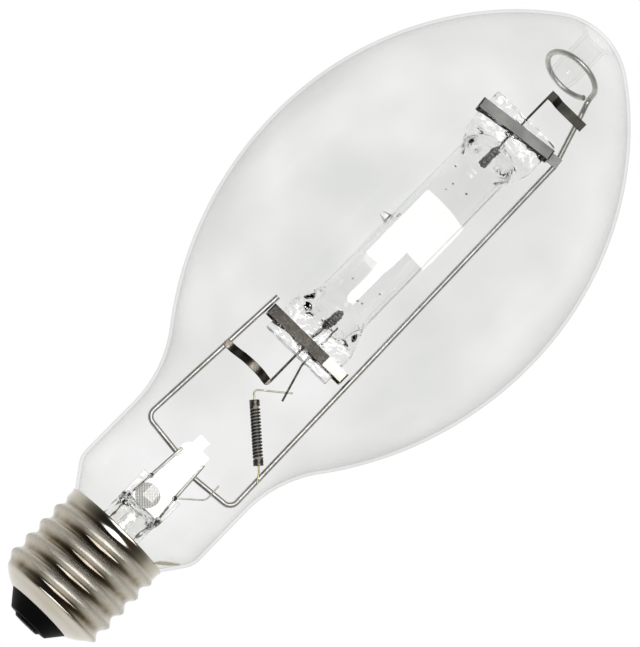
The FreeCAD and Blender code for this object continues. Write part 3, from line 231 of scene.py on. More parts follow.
STAINS_PER_METRE, STREAKS_PER_METRE, STREAK_SQUEEZE = 150.0, 900.0, (0.35, 0.35, 3.0)
nickel_plate, tree, output, place = new_material("tarnished_nickel_plate")
scuffed = add_node(tree, "ShaderNodeAttribute", attribute_name="crest_wear").outputs["Fac"]
hollowed = add_node(tree, "ShaderNodeAttribute", attribute_name="valley_tarnish").outputs["Fac"]
stain = add_node(tree, "ShaderNodeTexNoise", {
    "Vector": place, "Scale": STAINS_PER_METRE, "Detail": 4.0, "Roughness": 0.6})
streak_place = add_node(tree, "ShaderNodeVectorMath", {0: place, 1: STREAK_SQUEEZE}, operation="MULTIPLY")
streak = add_node(tree, "ShaderNodeTexNoise", {
    "Vector": streak_place.outputs[0], "Scale": STREAKS_PER_METRE, "Detail": 2.0})
stain_share = between(tree, stain.outputs["Fac"], 0.3, 0.7, 0.35, 1.0)
tarnish = add_node(tree, "ShaderNodeMath", {0: hollowed, 1: stain_share}, operation="MULTIPLY")
relief = add_node(tree, "ShaderNodeBump", {"Height": streak.outputs["Fac"], "Strength": 0.08,
                                           "Distance": 0.05 * MM})
streak_share = between(tree, streak.outputs["Fac"], 0.3, 0.7, 0.75, 1.0)
scuff = add_node(tree, "ShaderNodeMath", {0: scuffed, 1: streak_share}, operation="MULTIPLY")
shader = add_node(tree, "ShaderNodeBsdfPrincipled", {
    "Base Color": blend(tree, tarnish.outputs[0], linear("#cbc6bb"), linear("#7a6c56")),
    "Metallic": between(tree, scuff.outputs[0], 0.5, 0.9, 1.0, 0.4),
    "Roughness": between(tree, scuff.outputs[0], 0.5, 0.95, 0.16, 0.4),
    "Normal": relief.outputs["Normal"]})
tree.links.new(shader.outputs["BSDF"], output.inputs["Surface"])
shell_faces = grid_faces(2 * SHELL_ROWS, SHELL_COLUMNS, closed_rows=True)
shell = mesh_piece("rolled_screw_shell", points, [shell_faces], nickel_plate, "plated_shell")
point_values(shell, "crest_wear", np.concatenate([wear[::-1], wear]))
point_values(shell, "valley_tarnish", np.concatenate([hollow[::-1], hollow]))
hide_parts("screw_shell")

# Basing cement: a ring of tan cement between the shell's collar and the bulb's neck. It is spread in the
# shell as a paste and baked hard, which fixes the base to the glass.

PORES_PER_METRE = 1400.0
cement, tree, output, place = new_material("baked_basing_cement")
pores = add_node(tree, "ShaderNodeTexNoise", {"Vector": place, "Scale": PORES_PER_METRE, "Detail": 4.0})
relief = add_node(tree, "ShaderNodeBump", {"Height": pores.outputs["Fac"], "Strength": 0.6,
                                           "Distance": 0.2 * MM})
shader = add_node(tree, "ShaderNodeBsdfPrincipled", {
    "Base Color": blend(tree, pores.outputs["Fac"], linear("#7d6847"), linear("#a08b66")),
    "Roughness": 0.9, "Normal": relief.outputs["Normal"]})
tree.links.new(shader.outputs["BSDF"], output.inputs["Surface"])
dress(cement, "basing_cement")

# Bulb: blown from clear hard glass about a millimetre thick. Its neck flares into the belly through one
# concave arc, and its dome has a dimple that steadies the frame's loop. It is sealed to the stem's flare.

GLASS_WALL = 1.0 * MM
SEAL_RADIUS, SEAL_BEND = 16.4 * MM, 3.0 * MM
SEAL_HEIGHT = THREAD_HIGH - 2.0 * MM
SHOULDER_SPREAD, SHOULDER_BEND = 0.7213, 8.0 * MM
SHOULDER_LOW = RIM_HEIGHT - 3.0 * MM
NECK_RADIUS, NECK_LENGTH, FLARE_RADIUS = 25.2 * MM, 15.0 * MM, 43.0 * MM
SHOULDER_HIGH = SHOULDER_LOW + (NECK_RADIUS - SEAL_RADIUS) / SHOULDER_SPREAD
SIDE_RADIUS, BELLY_RADIUS = 124.0 * MM, 58.6 * MM
BELLY_HEIGHT = SHOULDER_HIGH + 124.1 * MM
UPPER_RADIUS, DOME_RADIUS = 118.0 * MM, 26.0 * MM
DIMPLE_RADIUS, DIMPLE_LIP, DIMPLE_DEPTH = 3.8 * MM, 2.6 * MM, 13.96 * MM
FLARE_X = NECK_RADIUS + FLARE_RADIUS
SIDE_X, UPPER_X = BELLY_RADIUS - SIDE_RADIUS, BELLY_RADIUS - UPPER_RADIUS
FLARE_HEIGHT = BELLY_HEIGHT - np.sqrt((SIDE_RADIUS + FLARE_RADIUS) ** 2 - (FLARE_X - SIDE_X) ** 2)
DOME_HEIGHT = BELLY_HEIGHT + np.sqrt((UPPER_RADIUS - DOME_RADIUS) ** 2 - UPPER_X ** 2)
LIP_X = DIMPLE_RADIUS + DIMPLE_LIP
LIP_Z = DOME_HEIGHT + np.sqrt((DOME_RADIUS - DIMPLE_LIP) ** 2 - LIP_X ** 2)
DIMPLE_LOW = LIP_Z - DIMPLE_DEPTH


def arc(centre_x, centre_z, radius, start, end, count):
    """Points (centre + radius cos, centre + radius sin) between two angles in degrees, without the last."""
    angle = np.radians(np.linspace(start, end, count + 1)[:-1])
    return np.stack([centre_x + radius * np.cos(angle), centre_z + radius * np.sin(angle)], -1)


def corner_arc(before, corner, after, radius, count=10):
    """The arc of a radius that touches both runs of a corner. Its centre lies on the corner's bisector, at
    radius / cos(half the corner's turn), and a point of it is centre + radius (along sin - inward cos)."""
    into = (corner - before) / np.linalg.norm(corner - before)
    out = (after - corner) / np.linalg.norm(after - corner)
    half = np.arccos(np.clip(into @ out, -1, 1)) / 2
    inward = (out - into) / np.linalg.norm(out - into)
    along = (into + out) / np.linalg.norm(into + out)
    angle = np.linspace(-half, half, count)[:, None]
    centre = corner + inward * radius / np.cos(half)
    return centre + radius * (along * np.sin(angle) - inward * np.cos(angle))


def bulb_profile(inset):
    """The bulb's outline as (radius, height) from its seal to its dimple, moved in by the inset: runs and
    arcs that touch, so an arc that bulges out loses the inset and one that bulges in gains it."""
    rise = inset * (np.hypot(1, SHOULDER_SPREAD) - 1) / SHOULDER_SPREAD
    flare_turn = np.degrees(np.arctan2(BELLY_HEIGHT - FLARE_HEIGHT, FLARE_X - SIDE_X))
    dome_turn = np.degrees(np.arctan2(DOME_HEIGHT - BELLY_HEIGHT, -UPPER_X))
    lip_turn = np.degrees(np.arctan2(LIP_Z - DOME_HEIGHT, LIP_X))
    seal = np.array([SEAL_RADIUS - inset, SEAL_HEIGHT])
    low = np.array([SEAL_RADIUS - inset, SHOULDER_LOW + rise])
    high = np.array([NECK_RADIUS - inset, SHOULDER_HIGH + rise])
    neck = np.array([NECK_RADIUS - inset, FLARE_HEIGHT])
    return np.concatenate([
        [seal],
        corner_arc(seal, low, high, inset + SEAL_BEND),
        corner_arc(low, high, neck, SHOULDER_BEND - inset),
        np.linspace(neck - (0, NECK_LENGTH), neck, 8)[:-1],
        arc(FLARE_X, FLARE_HEIGHT, FLARE_RADIUS + inset, 180, 180 - flare_turn, 24),
        arc(SIDE_X, BELLY_HEIGHT, SIDE_RADIUS - inset, -flare_turn, 0, 48),
        arc(UPPER_X, BELLY_HEIGHT, UPPER_RADIUS - inset, 0, dome_turn, 48),
        arc(0, DOME_HEIGHT, DOME_RADIUS - inset, dome_turn, lip_turn, 24),
        arc(LIP_X, LIP_Z, DIMPLE_LIP - inset, lip_turn, 180, 20),
        np.linspace((DIMPLE_RADIUS + inset, LIP_Z), (DIMPLE_RADIUS + inset, DIMPLE_LOW), 12)[:-1],
        arc(0, DIMPLE_LOW, DIMPLE_RADIUS + inset, 0, -90, 16),
        [(0, DIMPLE_LOW - DIMPLE_RADIUS - inset)],
    ])


def capped_faces(rows, columns):
    """Quads that join rings of points, and a fan of triangles to the pole that closes each end. The poles
    are the last two points."""
    first = np.arange(columns)
    second = (first + 1) % columns
    last_ring = (rows - 1) * columns
    start_fan = np.stack([np.full(columns, rows * columns), second, first], -1)
    end_fan = np.stack([np.full(columns, rows * columns + 1), first + last_ring, second + last_ring], -1)
    return [grid_faces(rows, columns), start_fan, end_fan]


def turned_surface(profile, columns):
    """A profile that begins and ends on the axis, turned about Z: x = r cos, y = r sin."""
    turn = np.linspace(0, 2 * np.pi, columns, endpoint=False)
    radius, height = profile[1:-1, :1], profile[1:-1, 1:]
    level = np.broadcast_to(height, (len(height), columns))
    rings = np.stack([radius * np.cos(turn), radius * np.sin(turn), level], -1).reshape(-1, 3)
    poles = np.array([[0, 0, profile[0, 1]], [0, 0, profile[-1, 1]]])
    return np.concatenate([rings, poles]), capped_faces(len(height), columns)


CLOUDS_PER_METRE, WAVES_PER_METRE = 22.0, 40.0


def clear_glass(name, bright, smoky, mirror_share):
    """Thin clear glass. What lies behind shows straight through, and what it mirrors is laid over that by
    the share r + (1 - r) f^5, f being 0 seen square on and 1 edge on. Faint clouds darken it a little."""
    material, tree, output, place = new_material(name)
    clouds = add_node(tree, "ShaderNodeTexNoise", {
        "Vector": place, "Scale": CLOUDS_PER_METRE, "Detail": 2.0})
    waves = add_node(tree, "ShaderNodeTexNoise", {"Vector": place, "Scale": WAVES_PER_METRE, "Detail": 1.0})
    relief = add_node(tree, "ShaderNodeBump", {"Height": waves.outputs["Fac"], "Strength": 0.1,
                                               "Distance": 1.0 * MM})
    tint = blend(tree, between(tree, clouds.outputs["Fac"], 0.35, 0.7), linear(bright), linear(smoky))
    through = add_node(tree, "ShaderNodeBsdfTransparent", {"Color": tint})
    mirror = add_node(tree, "ShaderNodeBsdfGlossy", {
        "Roughness": 0.015, "Normal": relief.outputs["Normal"]})
    facing = add_node(tree, "ShaderNodeLayerWeight", {"Blend": 0.5}).outputs["Facing"]
    steep = add_node(tree, "ShaderNodeMath", {0: facing, 1: 5.0}, operation="POWER")
    share = add_node(tree, "ShaderNodeMath", {0: steep.outputs[0], 1: 1 - mirror_share, 2: mirror_share},
                     operation="MULTIPLY_ADD")
    mixed = add_node(tree, "ShaderNodeMixShader", {0: share.outputs[0], 1: through.outputs[0],
                                                   2: mirror.outputs[0]})
    tree.links.new(mixed.outputs[0], output.inputs["Surface"])
    return material


# The profile runs up the inside from the dimple to the seal and back on the outside, so the inner skin's
# faces come first, and after the quads comes the fan that closes its pole.
BULB_COLUMNS = 160
inner_skin, outer_skin = bulb_profile(GLASS_WALL)[::-1], bulb_profile(0.0)
bulb_points, bulb_faces = turned_surface(np.concatenate([inner_skin, outer_skin]), BULB_COLUMNS)
bulb = mesh_piece("blown_bulb", bulb_points, bulb_faces, clear_glass(
    "blown_bulb_outside", "#fefefe", "#f6f7f6", 0.036), "bulb_glass")
bulb.data.materials.append(clear_glass("blown_bulb_inside", "#fefefe", "#f8f8f7", 0.006))
bulb_quads = len(bulb_faces[0])
is_inside = np.zeros(len(bulb.data.polygons), dtype=np.int32)
is_inside[:(len(inner_skin) - 2) * BULB_COLUMNS] = 1
is_inside[bulb_quads:bulb_quads + BULB_COLUMNS] = 1
centres = np.empty(len(bulb.data.polygons) * 3)
bulb.data.polygons.foreach_get("center", centres)
across, deep, level = centres.reshape(-1, 3).T
in_dimple = (np.hypot(across, deep) < LIP_X) & (level > DIMPLE_LOW - 2 * DIMPLE_RADIUS)
bulb.data.materials.append(clear_glass("blown_dimple", "#ffffff", "#fdfdfd", 0.012))
bulb.data.polygons.foreach_set("material_index", np.where(in_dimple, 2, is_inside).astype(np.int32))
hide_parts("bulb_envelope")

# Side joint: tin-lead solder that ties the side lead to the shell's rim. It is flowed on with an iron, and
# its flattened tail lies as a pale leaf up the glass.

LEAF_START, LEAF_END = np.radians(-38.0), np.radians(-20.0)
LEAF_WIDTH, LEAF_THICKNESS, LEAF_LIFT, LEAF_LENGTH = 2.2 * MM, 0.4 * MM, 0.25 * MM, 5.6 * MM
LEAF_POINTS, LEAF_COLUMNS = 40, 16


def swept(path, side, half_side, half_face, columns, squareness=1.0):
    """A solid strip or wire: round each point of the path goes a ring, half_side cos(t)^s towards its side
    and half_face sin(t)^s towards the direction across both. A pole closes each end."""
    along = np.gradient(path, axis=0)
    along = along / np.linalg.norm(along, axis=1, keepdims=True)
    side = side - along * np.sum(side * along, axis=1, keepdims=True)
    side = side / np.linalg.norm(side, axis=1, keepdims=True)
    face = np.cross(along, side)
    turn = np.linspace(0, 2 * np.pi, columns, endpoint=False)
    by_side = np.sign(np.cos(turn)) * np.abs(np.cos(turn)) ** squareness
    by_face = np.sign(np.sin(turn)) * np.abs(np.sin(turn)) ** squareness
    rings = (path[:, None] + by_side[None, :, None] * half_side[:, None, None] * side[:, None]
             + by_face[None, :, None] * half_face[:, None, None] * face[:, None])
    return np.concatenate([rings.reshape(-1, 3), path[[0, -1]]]), capped_faces(len(path), columns)


def end_rounding(path, radius):
    """The share sqrt(1 - (1 - d / radius)^2) of a full width, d being the distance to the nearer end."""
    steps = np.linalg.norm(np.diff(path, axis=0), axis=1)
    distance = np.concatenate([[0], np.cumsum(steps)])
    nearer = np.minimum(distance, distance[-1] - distance)
    return np.sqrt(np.clip(1 - (1 - np.minimum(nearer / radius, 1)) ** 2, 0.02, 1))


# The leaf is wide in its middle: its width follows the root of a sine along it.
leaf_share = np.linspace(0, 1, LEAF_POINTS)
leaf_turn = LEAF_START + (LEAF_END - LEAF_START) * leaf_share
leaf_level = RIM_HEIGHT + LEAF_LENGTH * leaf_share
on_rim = COLLAR_RADIUS + RIM_FLARE
on_glass = SEAL_RADIUS + (leaf_level - SHOULDER_LOW) * SHOULDER_SPREAD
leaf_radius = np.maximum(on_rim, on_glass) + LEAF_LIFT
leaf_path = np.column_stack([leaf_radius * np.cos(leaf_turn), leaf_radius * np.sin(leaf_turn), leaf_level])
outward = np.column_stack([np.cos(leaf_turn), np.sin(leaf_turn), np.full(LEAF_POINTS, -SHOULDER_SPREAD)])
leaf_swell = np.sqrt(np.clip(np.sin(np.pi * (0.12 + 0.86 * leaf_share)), 0.02, 1))
leaf_points, leaf_faces = swept(leaf_path, outward, leaf_swell * LEAF_THICKNESS / 2,
                                leaf_swell * LEAF_WIDTH / 2, LEAF_COLUMNS, squareness=0.8)
leaf = mesh_piece("soldered_lead_tail", leaf_points, leaf_faces, worn_metal(
    "flowed_solder", "#d6cfbd", "#bcb39c", 0.55, 2 * MM, 0.6 * MM, 0.1, 0.3), "solder")
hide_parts("side_solder")

# Stem: one pressed piece of clear lead glass. Its flare is sealed to the bulb, its tube is closed into a
# flat press round the seal wires, and a flat tongue stands above the press between the lead rods.
# The press jaws leave a round pad of slanting grooves on its front. The pad's grey tint and the dark lines
# of its grooves are painted shade, laid into the glass's colour.

PRESS_TOP, PRESS_WAVES, TONGUE_WAVES = SHOULDER_HIGH + 11.0 * MM, 0.35, 0.06
PAD_X, PAD_HEIGHT, PAD_RADIUS = -1.0 * MM, SHOULDER_HIGH + 5.5 * MM, 4.2 * MM
PAD_FRONT = -2.6 * MM
GROOVE_PITCH = 0.8 * MM


def molten_glass(name, colour, ior, waviness):
    """Solid clear glass that bends what lies behind it, with waves of one size in its surface. Returns the
    material, its tree, the object coordinates, the shader and the waves' bump."""
    material, tree, output, place = new_material(name)
    waves = add_node(tree, "ShaderNodeTexNoise", {"Vector": place, "Scale": 1 / waviness, "Detail": 1.0})
    relief = add_node(tree, "ShaderNodeBump", {"Height": waves.outputs["Fac"], "Strength": 0.2,
                                               "Distance": 1.0 * MM})
    shader = add_node(tree, "ShaderNodeBsdfPrincipled", {
        "Base Color": linear(colour), "Roughness": 0.0, "IOR": ior, "Transmission Weight": 1.0,
        "Normal": relief.outputs["Normal"]})
    tree.links.new(shader.outputs["BSDF"], output.inputs["Surface"])
    return material, tree, place, shader, relief


stem_glass, tree, place, shader, relief = molten_glass("pressed_stem_glass", "#fbfbf9", 1.5, 3.5 * MM)
place_parts = add_node(tree, "ShaderNodeSeparateXYZ", {0: place}).outputs
stem_waves = between(tree, place_parts["Z"], PRESS_TOP - 1 * MM, PRESS_TOP, PRESS_WAVES, TONGUE_WAVES)
tree.links.new(stem_waves, relief.inputs["Strength"])
from_pad = add_node(tree, "ShaderNodeVectorMath", {
    0: place, 1: (PAD_X, 0.0, PAD_HEIGHT)}, operation="SUBTRACT")
pad_flat = add_node(tree, "ShaderNodeVectorMath", {
    0: from_pad.outputs[0], 1: (1.0, 0.0, 1.0)}, operation="MULTIPLY")
pad_distance = add_node(tree, "ShaderNodeVectorMath", {0: pad_flat.outputs[0]}, operation="LENGTH")
pad_disc = between(tree, pad_distance.outputs["Value"], 0.95 * PAD_RADIUS, PAD_RADIUS, 1.0, 0.0)
pad_face = between(tree, place_parts["Y"], PAD_FRONT - 0.1 * MM, PAD_FRONT, 1.0, 0.0)
grooves = add_node(tree, "ShaderNodeTexWave", {
    "Vector": place, "Scale": np.pi / (5 * np.sqrt(2) * GROOVE_PITCH)}, bands_direction="DIAGONAL")
in_groove = between(tree, grooves.outputs["Fac"], 0.35, 0.65)
on_pad = add_node(tree, "ShaderNodeMath", {0: pad_disc, 1: pad_face}, operation="MULTIPLY")
painted_groove_shade = add_node(tree, "ShaderNodeMath", {0: on_pad.outputs[0], 1: in_groove}, operation="MULTIPLY")
# Painted shade: the pad's glass is tinted grey and its grooves near black, with no grooves cut in its
# surface.
pad_with_painted_shade = blend(tree, on_pad.outputs[0], linear("#fbfbf9"), linear("#8d8b84"))
tree.links.new(blend(tree, painted_groove_shade.outputs[0], pad_with_painted_shade, linear("#38342d")), shader.inputs["Base Color"])
tree.links.new(between(tree, on_pad.outputs[0], 0.0, 1.0, 0.0, 0.45), shader.inputs["Roughness"])
dress(stem_glass, "glass_stem")

# Leads and seal wires: thin wires of copper-clad nickel iron, which glass seals to without a leak. They
# are dulled by the heat of the press, with a weld knot at each end of it.

dress(worn_metal("dull_lead_wire", "#6b6761", "#3c3935", 0.4, 1 * MM, 0.3 * MM, 0.2),
      "left_outer_lead", "right_outer_lead", "left_seal_wire", "right_seal_wire",
      "lower_lead", "upper_lead", "starter_lead")

# Rods and frame: drawn steel wire with a nickel plate, bent to shape and spot-welded where it crosses. The
# long wire ends in a loop round the bulb's dimple. A thin jumper wire hangs from the right rod.

dress(worn_metal("drawn_nickel_wire", "#dddcda", "#c8c6c3", 0.48, 3 * MM, 0.5 * MM, 0.04),
      "left_lead_rod", "right_lead_rod", "short_frame_wire", "long_frame_wire")
dress(worn_metal("thin_jumper_wire", "#dedad0", "#c2bdb1", 0.45, 3 * MM, 0.5 * MM, 0.04), "stem_jumper")

# Straps: nickel strip, folded round the pinches and welded to the frame. The lower one is shaded as if
# dished: on all but its right end its normals tip a little upwards.

DISH_END, DISH_LEAN = 9.7 * MM, 0.15
lower_nickel = worn_metal("dark_nickel_strap", "#85817b", "#67635d", 0.25, 8 * MM, 0.8 * MM, 0.005)
tree = lower_nickel.node_tree
surface = add_node(tree, "ShaderNodeNewGeometry").outputs["Normal"]
place = add_node(tree, "ShaderNodeTexCoord").outputs["Object"]
along_strap = add_node(tree, "ShaderNodeSeparateXYZ", {0: place}).outputs["X"]
lean = between(tree, along_strap, DISH_END - 0.1 * MM, DISH_END, DISH_LEAN, 0.0)
lift = add_node(tree, "ShaderNodeCombineXYZ", {"Z": lean})
tipped = add_node(tree, "ShaderNodeVectorMath", {0: surface, 1: lift.outputs[0]}, operation="ADD")
unit = add_node(tree, "ShaderNodeVectorMath", {0: tipped.outputs[0]}, operation="NORMALIZE")
tree.links.new(unit.outputs[0], tree.nodes["Bump"].inputs["Normal"])
dress(lower_nickel, "lower_strap")
dress(worn_metal("grey_nickel_strap", "#868684", "#6c6c6a", 0.35, 8 * MM, 0.8 * MM, 0.01), "upper_strap")

# Ribbon and flag: two thin dark nickel strips that feed the arc tube. The ribbon bows forwards on its way
# from the short frame wire to the lower lead, and the flag ties the upper lead to the long wire.

RIBBON_WIDTH, RIBBON_THICKNESS, RIBBON_COLUMNS = 2.8 * MM, 0.2 * MM, 16
RIBBON_WELD, RIBBON_CROSS, RIBBON_BOW = 4.1 * MM, 4.8 * MM, 3.5 * MM
RIBBON_TURN, RIBBON_LAP = 3.0 * MM, 1.4 * MM


def rounded_path(corners, rounds):
    """Cuts every corner at a quarter and at three quarters of its runs, again and again, so that the path
    becomes a smooth curve with the same two ends."""
    path = np.asarray(corners, dtype=float)
    for _ in range(rounds):
        near, far = path[:-1] * 0.75 + path[1:] * 0.25, path[:-1] * 0.25 + path[1:] * 0.75
        path = np.concatenate([path[:1], np.stack([near, far], 1).reshape(-1, path.shape[1]), path[-1:]])
    return path


ribbon_left, ribbon_right = reach("lower_ribbon", 0)
ribbon_front, ribbon_back = reach("lower_ribbon", 1)
ribbon_low, ribbon_high = reach("lower_ribbon", 2)
TUBE_X = sum(reach("lower_lead", 0)) / 2
weld_x, weld_y = ribbon_left + RIBBON_WELD, ribbon_back - RIBBON_THICKNESS / 2
bow_y, lead_y = ribbon_front + RIBBON_THICKNESS / 2, ribbon_front + RIBBON_BOW
ribbon_corners = np.array([
    (ribbon_left, weld_y), (weld_x, weld_y), (weld_x + RIBBON_CROSS, bow_y),
    (TUBE_X - RIBBON_LAP - RIBBON_TURN, bow_y), (TUBE_X - RIBBON_LAP, lead_y), (ribbon_right, lead_y)])
flat_path = rounded_path(ribbon_corners, 5)
ribbon_path = np.column_stack([flat_path, np.full(len(flat_path), (ribbon_low + ribbon_high) / 2)])
strip_share = end_rounding(ribbon_path, RIBBON_WIDTH / 2)
upright = np.tile([0.0, 0.0, 1.0], (len(ribbon_path), 1))
ribbon_points, ribbon_faces = swept(
    ribbon_path, upright, strip_share * RIBBON_WIDTH / 2, np.full(len(ribbon_path), RIBBON_THICKNESS / 2),
    RIBBON_COLUMNS, squareness=0.3)
dark_strip = worn_metal("dark_nickel_ribbon", "#6a655e", "#3b3733", 0.3, 5 * MM, 0.6 * MM, 0.04)
ribbon = mesh_piece("bowed_ribbon", ribbon_points, ribbon_faces, dark_strip, "nickel_strip")
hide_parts("lower_ribbon")
dress(worn_metal("dark_nickel_flag", "#57554f", "#3f3d39", 0.35, 5 * MM, 0.6 * MM, 0.02), "upper_flag")

# Arc tube: clear fused quartz, pinched flat at both ends round its foils. The pinches are wavy from the
# jaws that closed them, and the tube between them is drawn smooth.

TUBE_LOW, TUBE_HIGH = reach("arc_tube", 2)
WAVY_LENGTH, WAVE_FADE, WAVE_DEPTH = 14.0 * MM, 4.0 * MM, 1.8 * MM
quartz, tree, place, shader, relief = molten_glass("fused_quartz", "#fdfdfd", 1.46, 4.5 * MM)
relief.inputs["Distance"].default_value = WAVE_DEPTH
height_part = add_node(tree, "ShaderNodeSeparateXYZ", {0: place}).outputs["Z"]
low_wavy, high_wavy = TUBE_LOW + WAVY_LENGTH, TUBE_HIGH - WAVY_LENGTH
in_low = between(tree, height_part, low_wavy, low_wavy + WAVE_FADE, 1.0, 0.0)
in_high = between(tree, height_part, high_wavy - WAVE_FADE, high_wavy)
pinch_waves = add_node(tree, "ShaderNodeMath", {0: in_low, 1: in_high}, operation="ADD")
tree.links.new(pinch_waves.outputs[0], relief.inputs["Strength"])
dress(quartz, "arc_tube")

# Electrodes: tungsten rods, each wound with one close layer of thick tungsten wire at its tip, and
# molybdenum foils in the pinches. Both rods stand a little off the tube's axis.

ROD_RADIUS, COIL_WIRE, COIL_PITCH, TIP_STEP = 0.5 * MM, 0.58 * MM, 1.06 * MM, 0.2 * MM
FOOT_INSET, ROD_POINTS, ROD_COLUMNS, COIL_POINTS_PER_TURN, COIL_COLUMNS = 0.1 * MM, 48, 20, 28, 14
tungsten = worn_metal("sintered_tungsten", "#908c86", "#4a4744", 0.35, 0.8 * MM, 0.2 * MM, 0.2)


def electrode(name, foot_height, tip_height, shift, lean_degrees, coil_turns):
    """A straight rod from its foil to its tip, and a helix of wire round its end: the helix has the radius
    of rod and wire together, drawn in to 0.7 of it at both ends, and climbs one pitch in each turn along
    the leaning axis."""
    direction = np.sign(tip_height - foot_height)
    slope = np.tan(np.radians(lean_degrees))
    foot = np.array([TUBE_X - shift, 0.0, foot_height])
    axis = np.array([slope, 0.0, direction])
    axis = axis / np.linalg.norm(axis)
    across, ahead = np.cross([0.0, 1.0, 0.0], axis), np.array([0.0, 1.0, 0.0])
    reach_out = abs(tip_height - foot_height) / abs(axis[2])
    distance = np.linspace(0, reach_out, ROD_POINTS)
    rod_path = foot + distance[:, None] * axis
    rod_share = end_rounding(rod_path, ROD_RADIUS) * ROD_RADIUS
    rod_side = np.tile(ahead, (ROD_POINTS, 1))
    rod_points, rod_faces = swept(rod_path, rod_side, rod_share, rod_share, ROD_COLUMNS)
    rod = mesh_piece(name + "_rod", rod_points, rod_faces, tungsten, "tungsten")
    turns = np.linspace(0, coil_turns, int(coil_turns * COIL_POINTS_PER_TURN))
    angle = 2 * np.pi * turns[:, None]
    outwards = across * np.cos(angle) + ahead * np.sin(angle)
    start = reach_out - TIP_STEP - COIL_WIRE - coil_turns * COIL_PITCH
    from_end = np.minimum(turns, coil_turns - turns)
    coil_radius = (ROD_RADIUS + COIL_WIRE) * (0.7 + 0.3 * eased(from_end, 0, 1))
    coil_path = foot + (start + turns * COIL_PITCH)[:, None] * axis + outwards * coil_radius[:, None]
    coil_share = end_rounding(coil_path, COIL_WIRE) * COIL_WIRE
    coil_points, coil_faces = swept(coil_path, outwards, coil_share, coil_share, COIL_COLUMNS)
    coil = mesh_piece(name + "_winding", coil_points, coil_faces, tungsten, "tungsten")
    return rod, coil


lower_foot = reach("lower_electrode_rod", 2)[0] + FOOT_INSET
upper_foot = reach("upper_electrode_rod", 2)[1] - FOOT_INSET
lower_rod, lower_coil = electrode("lower_tungsten", lower_foot, lower_foot + 13.6 * MM,
                                  shift=0.45 * MM, lean_degrees=6.5, coil_turns=7.0)
upper_rod, upper_coil = electrode("upper_tungsten", upper_foot, upper_foot - 13.8 * MM,
                                  shift=0.3 * MM, lean_degrees=1.5, coil_turns=5.8)
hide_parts("lower_electrode_rod")
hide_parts("lower_electrode_coil")
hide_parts("upper_electrode_rod")
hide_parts("upper_electrode_coil")
dress(tungsten, "starting_probe")
dress(worn_metal("molybdenum_foil", "#9a9a98", "#74726f", 0.35, 1 * MM, 0.3 * MM, 0.1),
      "lower_foil", "upper_foil", "starter_foil")

# Mercury: when the lamp is cold its mercury lies as small bright beads on the inside of the arc tube,
# on the front of the bore, on the broad sides and round the lower electrode.

BORE_RADIUS, BEAD_SEAT = 8.5 * MM, 0.9
BEADS = np.array([  # across the tube and above its middle, then the bead's radius, in millimetres
    (1.8, -29.8, 0.45), (3.4, -29.4, 0.35), (-4.0, -25.6, 0.3), (5.3, -22.9, 0.3), (-1.0, -15.3, 0.3),
    (-7.9, 0.8, 0.4), (-7.4, 1.3, 0.3), (-5.6, 25.3, 0.35), (2.8, 20.7, 0.4), (-2.4, 20.0, 0.35),
    (-2.7, 17.0, 0.25)]) * MM


def beads(places, rows=8, columns=12):
    """Small spheres that cling to the front of the bore. Each is centred a little less than its radius in
    from the wall, on depth = -sqrt((bore - seat x size)^2 - across^2)."""
    across, above, size = places.T
    depth = -np.sqrt((BORE_RADIUS - size * BEAD_SEAT) ** 2 - across ** 2)
    centres = np.column_stack([TUBE_X + across, depth, (TUBE_LOW + TUBE_HIGH) / 2 + above])
    half_turn = np.linspace(-np.pi / 2, np.pi / 2, rows)
    ball, faces = turned_surface(np.column_stack([np.cos(half_turn), np.sin(half_turn)]), columns)
    points = centres[:, None] + ball[None] * size[:, None, None]
    steps = np.arange(len(places))[:, None, None] * len(ball)
    return points.reshape(-1, 3), [(kind[None] + steps).reshape(-1, kind.shape[1]) for kind in faces]


mesh_piece("mercury_beads", *beads(BEADS), worn_metal(
    "liquid_mercury", "#b5b6b8", "#8f9092", 0.12, 0.6 * MM, 0.4 * MM, 0.02), "solder")

# Starting resistor: wire wound on a ceramic core and baked in black enamel, between two pressed steel
# caps. Its tinned leads are welded to the starter lead and to the long frame wire.

CORE_PORES_PER_METRE, LUMPS_PER_METRE = 2600.0, 1800.0
dress(worn_metal("resistor_cap_steel", "#7d776e", "#4f4b45", 0.4, 1 * MM, 0.4 * MM, 0.2),
      "resistor_top_cap", "resistor_bottom_cap")
dress(worn_metal("tinned_top_lead", "#dedacb", "#bfb9a6", 0.4, 1 * MM, 0.3 * MM, 0.05),
      "resistor_top_lead")
dress(worn_metal("tinned_bottom_lead", "#dfd5ae", "#bdb187", 0.4, 1 * MM, 0.3 * MM, 0.05),
      "resistor_bottom_lead")
core_ceramic, tree, output, place = new_material("resistor_ceramic")
pores = add_node(tree, "ShaderNodeTexNoise", {
    "Vector": place, "Scale": CORE_PORES_PER_METRE, "Detail": 3.0})
shader = add_node(tree, "ShaderNodeBsdfPrincipled", {
    "Base Color": blend(tree, pores.outputs["Fac"], linear("#8b8983"), linear("#b1afa8")),
    "Roughness": 0.7})
tree.links.new(shader.outputs["BSDF"], output.inputs["Surface"])
dress(core_ceramic, "resistor_core")
enamel, tree, output, place = new_material("baked_black_enamel")
lumps = add_node(tree, "ShaderNodeTexNoise", {"Vector": place, "Scale": LUMPS_PER_METRE, "Detail": 2.0})
relief = add_node(tree, "ShaderNodeBump", {"Height": lumps.outputs["Fac"], "Strength": 0.3,
                                           "Distance": 0.1 * MM})
shader = add_node(tree, "ShaderNodeBsdfPrincipled", {
    "Base Color": blend(tree, lumps.outputs["Fac"], linear("#1a1917"), linear("#282623")),
    "Roughness": 0.45, "Specular IOR Level": 0.3, "Normal": relief.outputs["Normal"]})
tree.links.new(shader.outputs["BSDF"], output.inputs["Surface"])
dress(enamel, "resistor_winding")

# Floor: a pale studio floor below the lamp, which its lampholder would hold clear of it.
# It takes the lamp's shadow and is seen only from the sides and from above.

